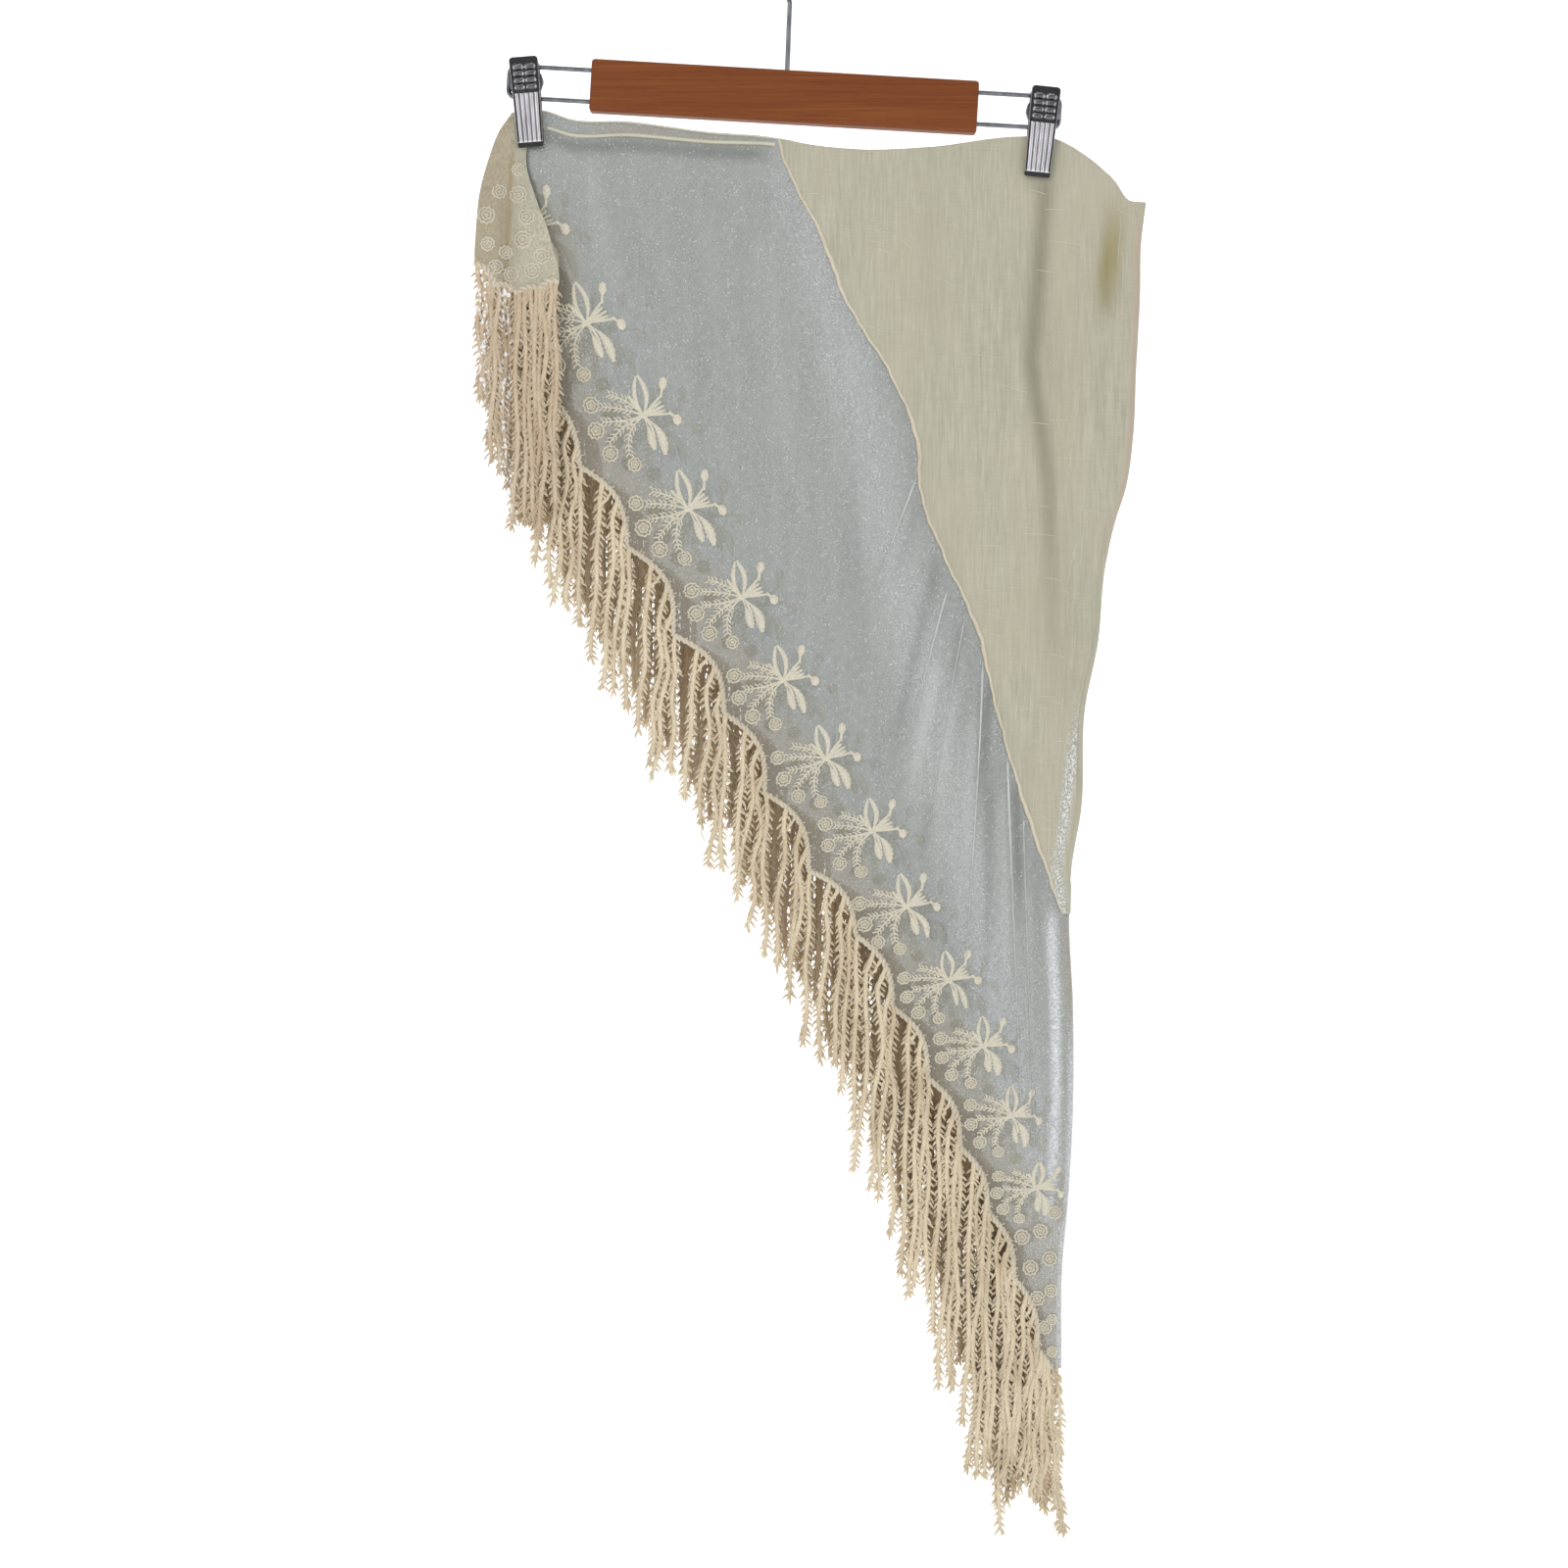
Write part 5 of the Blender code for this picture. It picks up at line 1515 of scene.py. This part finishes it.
def jaw(clip, side, mats):
    """A pressed jaw with its grip of round bumps, its ribs and its rubber tip."""
    form = Form()
    columns, rows = JAW_CELLS
    cloth_out = PINCH + WALL / 2 + (clip.layers / 2 - 1) * LAYER_STEP
    tip_out = cloth_out + FIT_GAP + PAD_THICK
    c, s = math.cos(clip.lean), math.sin(clip.lean)

    def place(x, y, z):
        return clip.x + x * c + z * s, y, clip.z - x * s + z * c

    marks = []
    front = []
    tones = []
    for r in range(rows + 1):
        share = r / rows
        z = mix(-JAW_HALF_LENGTH, JAW_HALF_LENGTH, share)
        half = mix(JAW_TIP_WIDTH, JAW_TOP_WIDTH, share) / 2
        corner = max(0, z - (JAW_HALF_LENGTH - 2.5)) / 2.5
        half -= 2.2 * (1 - math.sqrt(max(0, 1 - corner * corner)))
        for k in range(columns + 1):
            u = k / columns
            rise, mark, painted_dark = jaw_relief(u, z)
            tones.append((painted_dark, 0, 0))
            bevel = 0.5 * ease((abs(u - 0.5) - 0.47) / 0.03)
            out = jaw_out(z, tip_out) + JAW_PLATE + rise - bevel
            front.append(place(mix(-half, half, u), side * out, z))
            marks.append(mark)
    width = columns + 1
    for r in range(rows + 1):
        z = mix(-JAW_HALF_LENGTH, JAW_HALF_LENGTH, r / rows)
        for k in (0, columns):
            x = front[r * width + k][0] - clip.x
            zz = front[r * width + k][2] - clip.z
            local_x = x * c - zz * s
            front.append(place(local_x, side * jaw_out(z, tip_out), z))
            # The side walls are painted partly shaded
            tones.append((0.4, 0, 0))
    faces = {0: [], 1: [], 2: []}
    for r in range(rows):
        for k in range(columns):
            a = r * width + k
            corners = (a, a + 1, a + 1 + width, a + width)
            seen = [marks[i] for i in corners]
            faces[max(set(seen), key=seen.count)].append(corners)
    back = width * (rows + 1)
    for r in range(rows):
        left, right = back + 2 * r, back + 2 * r + 1
        low = 2 if r < rows * 0.055 else 0
        faces[low].append((r * width, r * width + width, left + 2, left))
        faces[low].append((r * width + columns, right, right + 2, r * width + width + columns))
        faces[low].append((left, left + 2, right + 2, right))
    for r, a, b in ((0, back, back + 1), (rows, back + 2 * rows, back + 2 * rows + 1)):
        edge = [r * width + k for k in range(width)]
        faces[1].append(tuple(edge + [b, a]))
    form.points = front
    form.tones = tones
    for mark, cells in faces.items():
        form.faces.extend(cells)
        form.marks.extend([mark] * len(cells))
    piece = form.piece(f"{clip.name}_plate_{SIDE_NAMES[side]}", mats, "chrome", 50)
    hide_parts(f"{clip.name}_jaw_{SIDE_NAMES[side]}")


def hinge(clip, mat):
    """The round ends of a clip's spring barrel, which show at both sides of the jaws."""
    form = Form()
    middle = Vector((0, 0, BAR_CENTRE.z - (clip.x - BAR_CENTRE.x) * math.tan(BAR_TILT)))
    middle.x = clip.x + math.sin(clip.lean) * (middle.z - clip.z)
    rings = []
    for share in np.linspace(-1, 1, 17):
        x = middle.x + BARREL_REACH * share
        radius = BARREL_RADIUS * math.sqrt(max(0.02, 1 - abs(share) ** 7))
        ring = []
        for i in range(20):
            turn = 2 * math.pi * i / 20
            ring.append((x, 0.72 * radius * math.cos(turn), middle.z + radius * math.sin(turn)))
        rings.append(ring)
    skin(form, rings)
    form.piece(f"{clip.name}_barrel", [mat], "steel")


def coil(clip, mat):
    """The spring between a clip's jaws."""
    form = Form()
    route = []
    steps = int(COIL_TURNS * 18)
    for i in range(steps + 1):
        angle = 2 * math.pi * i / 18
        x = clip.x + mix(-COIL_REACH, COIL_REACH, i / steps)
        y = COIL_RADIUS * math.cos(angle)
        route.append((x, y, clip.z - COIL_DROP + COIL_RADIUS * math.sin(angle) * 0.9))
    tube(form, route, 0.6, sides=6)
    form.piece(f"{clip.name}_spring", [mat], "steel")


def stage():
    """Pale floor and backdrop, soft lights and the camera."""
    scene = bpy.context.scene
    paint = Paint("backdrop", 0.9, Emission_Color=(1, 1, 1, 1), Emission_Strength=STAGE_GLOW)
    paint.shader.inputs["Base Color"].default_value = STAGE_GREY
    near_edge, foot, top = (STAGE_FRONT, FLOOR_Z), (WALL_Y, FLOOR_Z), (WALL_Y, WALL_TOP)
    for name, start, end in (("floor", near_edge, foot), ("wall", foot, top)):
        corners = [(-STAGE_HALF, *start), (STAGE_HALF, *start), (STAGE_HALF, *end), (-STAGE_HALF, *end)]
        mesh = bpy.data.meshes.new(name)
        mesh.from_pydata(corners, [], [(0, 1, 2, 3)])
        mesh.materials.append(paint.mat)
        shown(name, mesh)
    for lamp in LAMPS:
        light = bpy.data.lights.new(lamp.name, "AREA")
        light.energy = lamp.power
        light.size = lamp.size
        obj = shown(lamp.name, light)
        obj.location = (lamp.x, lamp.y, lamp.z)
        obj.rotation_mode = "QUATERNION"
        obj.rotation_quaternion = (LAMP_AIM - obj.location).to_track_quat("-Z", "Y")
    world = bpy.data.worlds.new("studio")
    world.use_nodes = True
    world.node_tree.nodes["Background"].inputs["Color"].default_value = (0.97, 0.98, 1, 1)
    world.node_tree.nodes["Background"].inputs["Strength"].default_value = WORLD_STRENGTH
    scene.world = world
    camera = bpy.data.cameras.new("camera")
    camera.sensor_width = CAMERA_SENSOR
    camera.lens = CAMERA_LENS
    scene.camera = shown("camera", camera)
    scene.camera.location = CAMERA_PLACE
    scene.camera.rotation_euler = (math.pi / 2, 0, 0)
    scene.view_settings.view_transform = "Standard"


def dress_hanger(wood, steel, rubber):
    """Materials of the solids that are shown as they are."""
    finish = {
        "hanger_bar": wood,
        "hanger_hook": steel,
        "wire_left": steel,
        "wire_right": steel,
    }
    for clip in CLIPS:
        finish[f"{clip.name}_core"] = steel
        finish[f"{clip.name}_pad_front"] = rubber
        finish[f"{clip.name}_pad_back"] = rubber
    for node, mat in finish.items():
        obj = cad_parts[node]
        obj.data.materials.clear()
        obj.data.materials.append(mat)


def slubs(mat):
    """Thicker single threads that lie in the woven cloth, some nearly level, some upright."""
    form = Form()
    draw = random.Random(61)
    for depth, out in ((front_y, -1), (back_y, 1)):
        for k in range(120):
            z = draw.uniform(-630, -165)
            low_x = seam_x(z) + 6
            high_x = edge_x(z) - 12
            if z > -190:
                high_x = 195
            x = draw.uniform(low_x, high_x)
            if z > top_z(x) - 6:
                continue
            level = k % 2 == 0
            slant = math.radians(draw.gauss(-12, 8) if level else draw.gauss(-95, 3))
            length = draw.uniform(9, 26) if level else draw.uniform(14, 40)
            bend = draw.uniform(-0.05, 0.05)
            route = []
            for i in range(7):
                t = i / 6 - 0.5
                dx = length * t * math.cos(slant)
                dz = length * t * math.sin(slant) + bend * length * (0.25 - t * t)
                here_x = min(max(x + dx, seam_x(z + dz) + 2), edge_x(z + dz) - 8)
                route.append((here_x, depth(here_x, z + dz) + out * THIN / 2, z + dz))
            size = [0.28 * math.sin(math.pi * (i + 0.4) / 6.8) ** 0.5 for i in range(7)]
            tube(form, route, size, 0.2, 5)
    return form.piece("woven_slubs", [mat], "woven")


def hung_cloth(made, node, sewn_on):
    """Hides the solid that a cloth stands in for. The cloth and what is sewn on it are not used."""
    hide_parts(node)


def cloth_pieces(cord, yarn):
    """Every cloth, with its fringe, cords and embroidery."""
    stitch = stitch_paint("stitches", (196, 189, 170), (228, 222, 205))
    # The back layer's stitches are painted lighter and glow faintly: painted light for what comes
    # through the net
    stitch_back = stitch_paint("stitches_back", (206, 200, 182), (234, 229, 212), BACK_GLOW)
    slub = yarn_paint("slub", (206, 201, 183), (182, 177, 158))
    yarn_end = yarn_paint("yarn_glint", (214, 198, 172), END_BROWN, glints=True)
    woven = woven_paint()
    stitched = end_paint()
    net_roll, woven_roll = edge_rolls(slub, woven)
    on_net = [net_ridges(ridge_paint()), net_roll]
    on_net += [embroidery(LAYERS[0], stitch, 11), embroidery(LAYERS[1], stitch_back, 12)]
    for sewn, mat, seed in ((hem_cord, cord, 21), (seam_cord, cord, 31), (fringe, yarn, 41)):
        on_net += [sewn(layer, mat, seed + k) for k, layer in enumerate(LAYERS)]
    hung_cloth(net_cloth(net_paint()), "net_panel", on_net)
    hung_cloth(woven_cloth(woven), "woven_panel", [woven_roll, slubs(slub)])
    for end, mat, seed in zip(ENDS, (yarn_end, yarn), (43, 44)):
        on_end = [
            end_embroidery(end, stitch, 13 + end.side),
            hem_cord(end, cord, 23 + end.side),
            fringe(end, mat, seed),
        ]
        hung_cloth(end_cloth(end, stitched), end.name, on_end)


def main():
    """Stage, hanger and clips, then the scarf."""
    stage()
    steel = metal_paint("steel", (92, 94, 98), (128, 130, 134), 0.3)
    chrome = metal_paint("chrome", (186, 184, 188), (226, 224, 228), 0.3)
    black = dark_paint("black", (18, 18, 22), (36, 36, 42), 0.4)
    rubber = dark_paint("rubber", (28, 26, 26), (44, 42, 42), 0.75)
    dress_hanger(wood_paint(), steel, rubber)
    for clip in CLIPS:
        for side in (-1, 1):
            jaw(clip, side, [chrome, black, rubber])
        hinge(clip, steel)
        coil(clip, steel)
    cloth_pieces(yarn_paint("cord", CORD, CORD_SHADE), yarn_paint("yarn", CREAM, SHADOW_BROWN))


main()
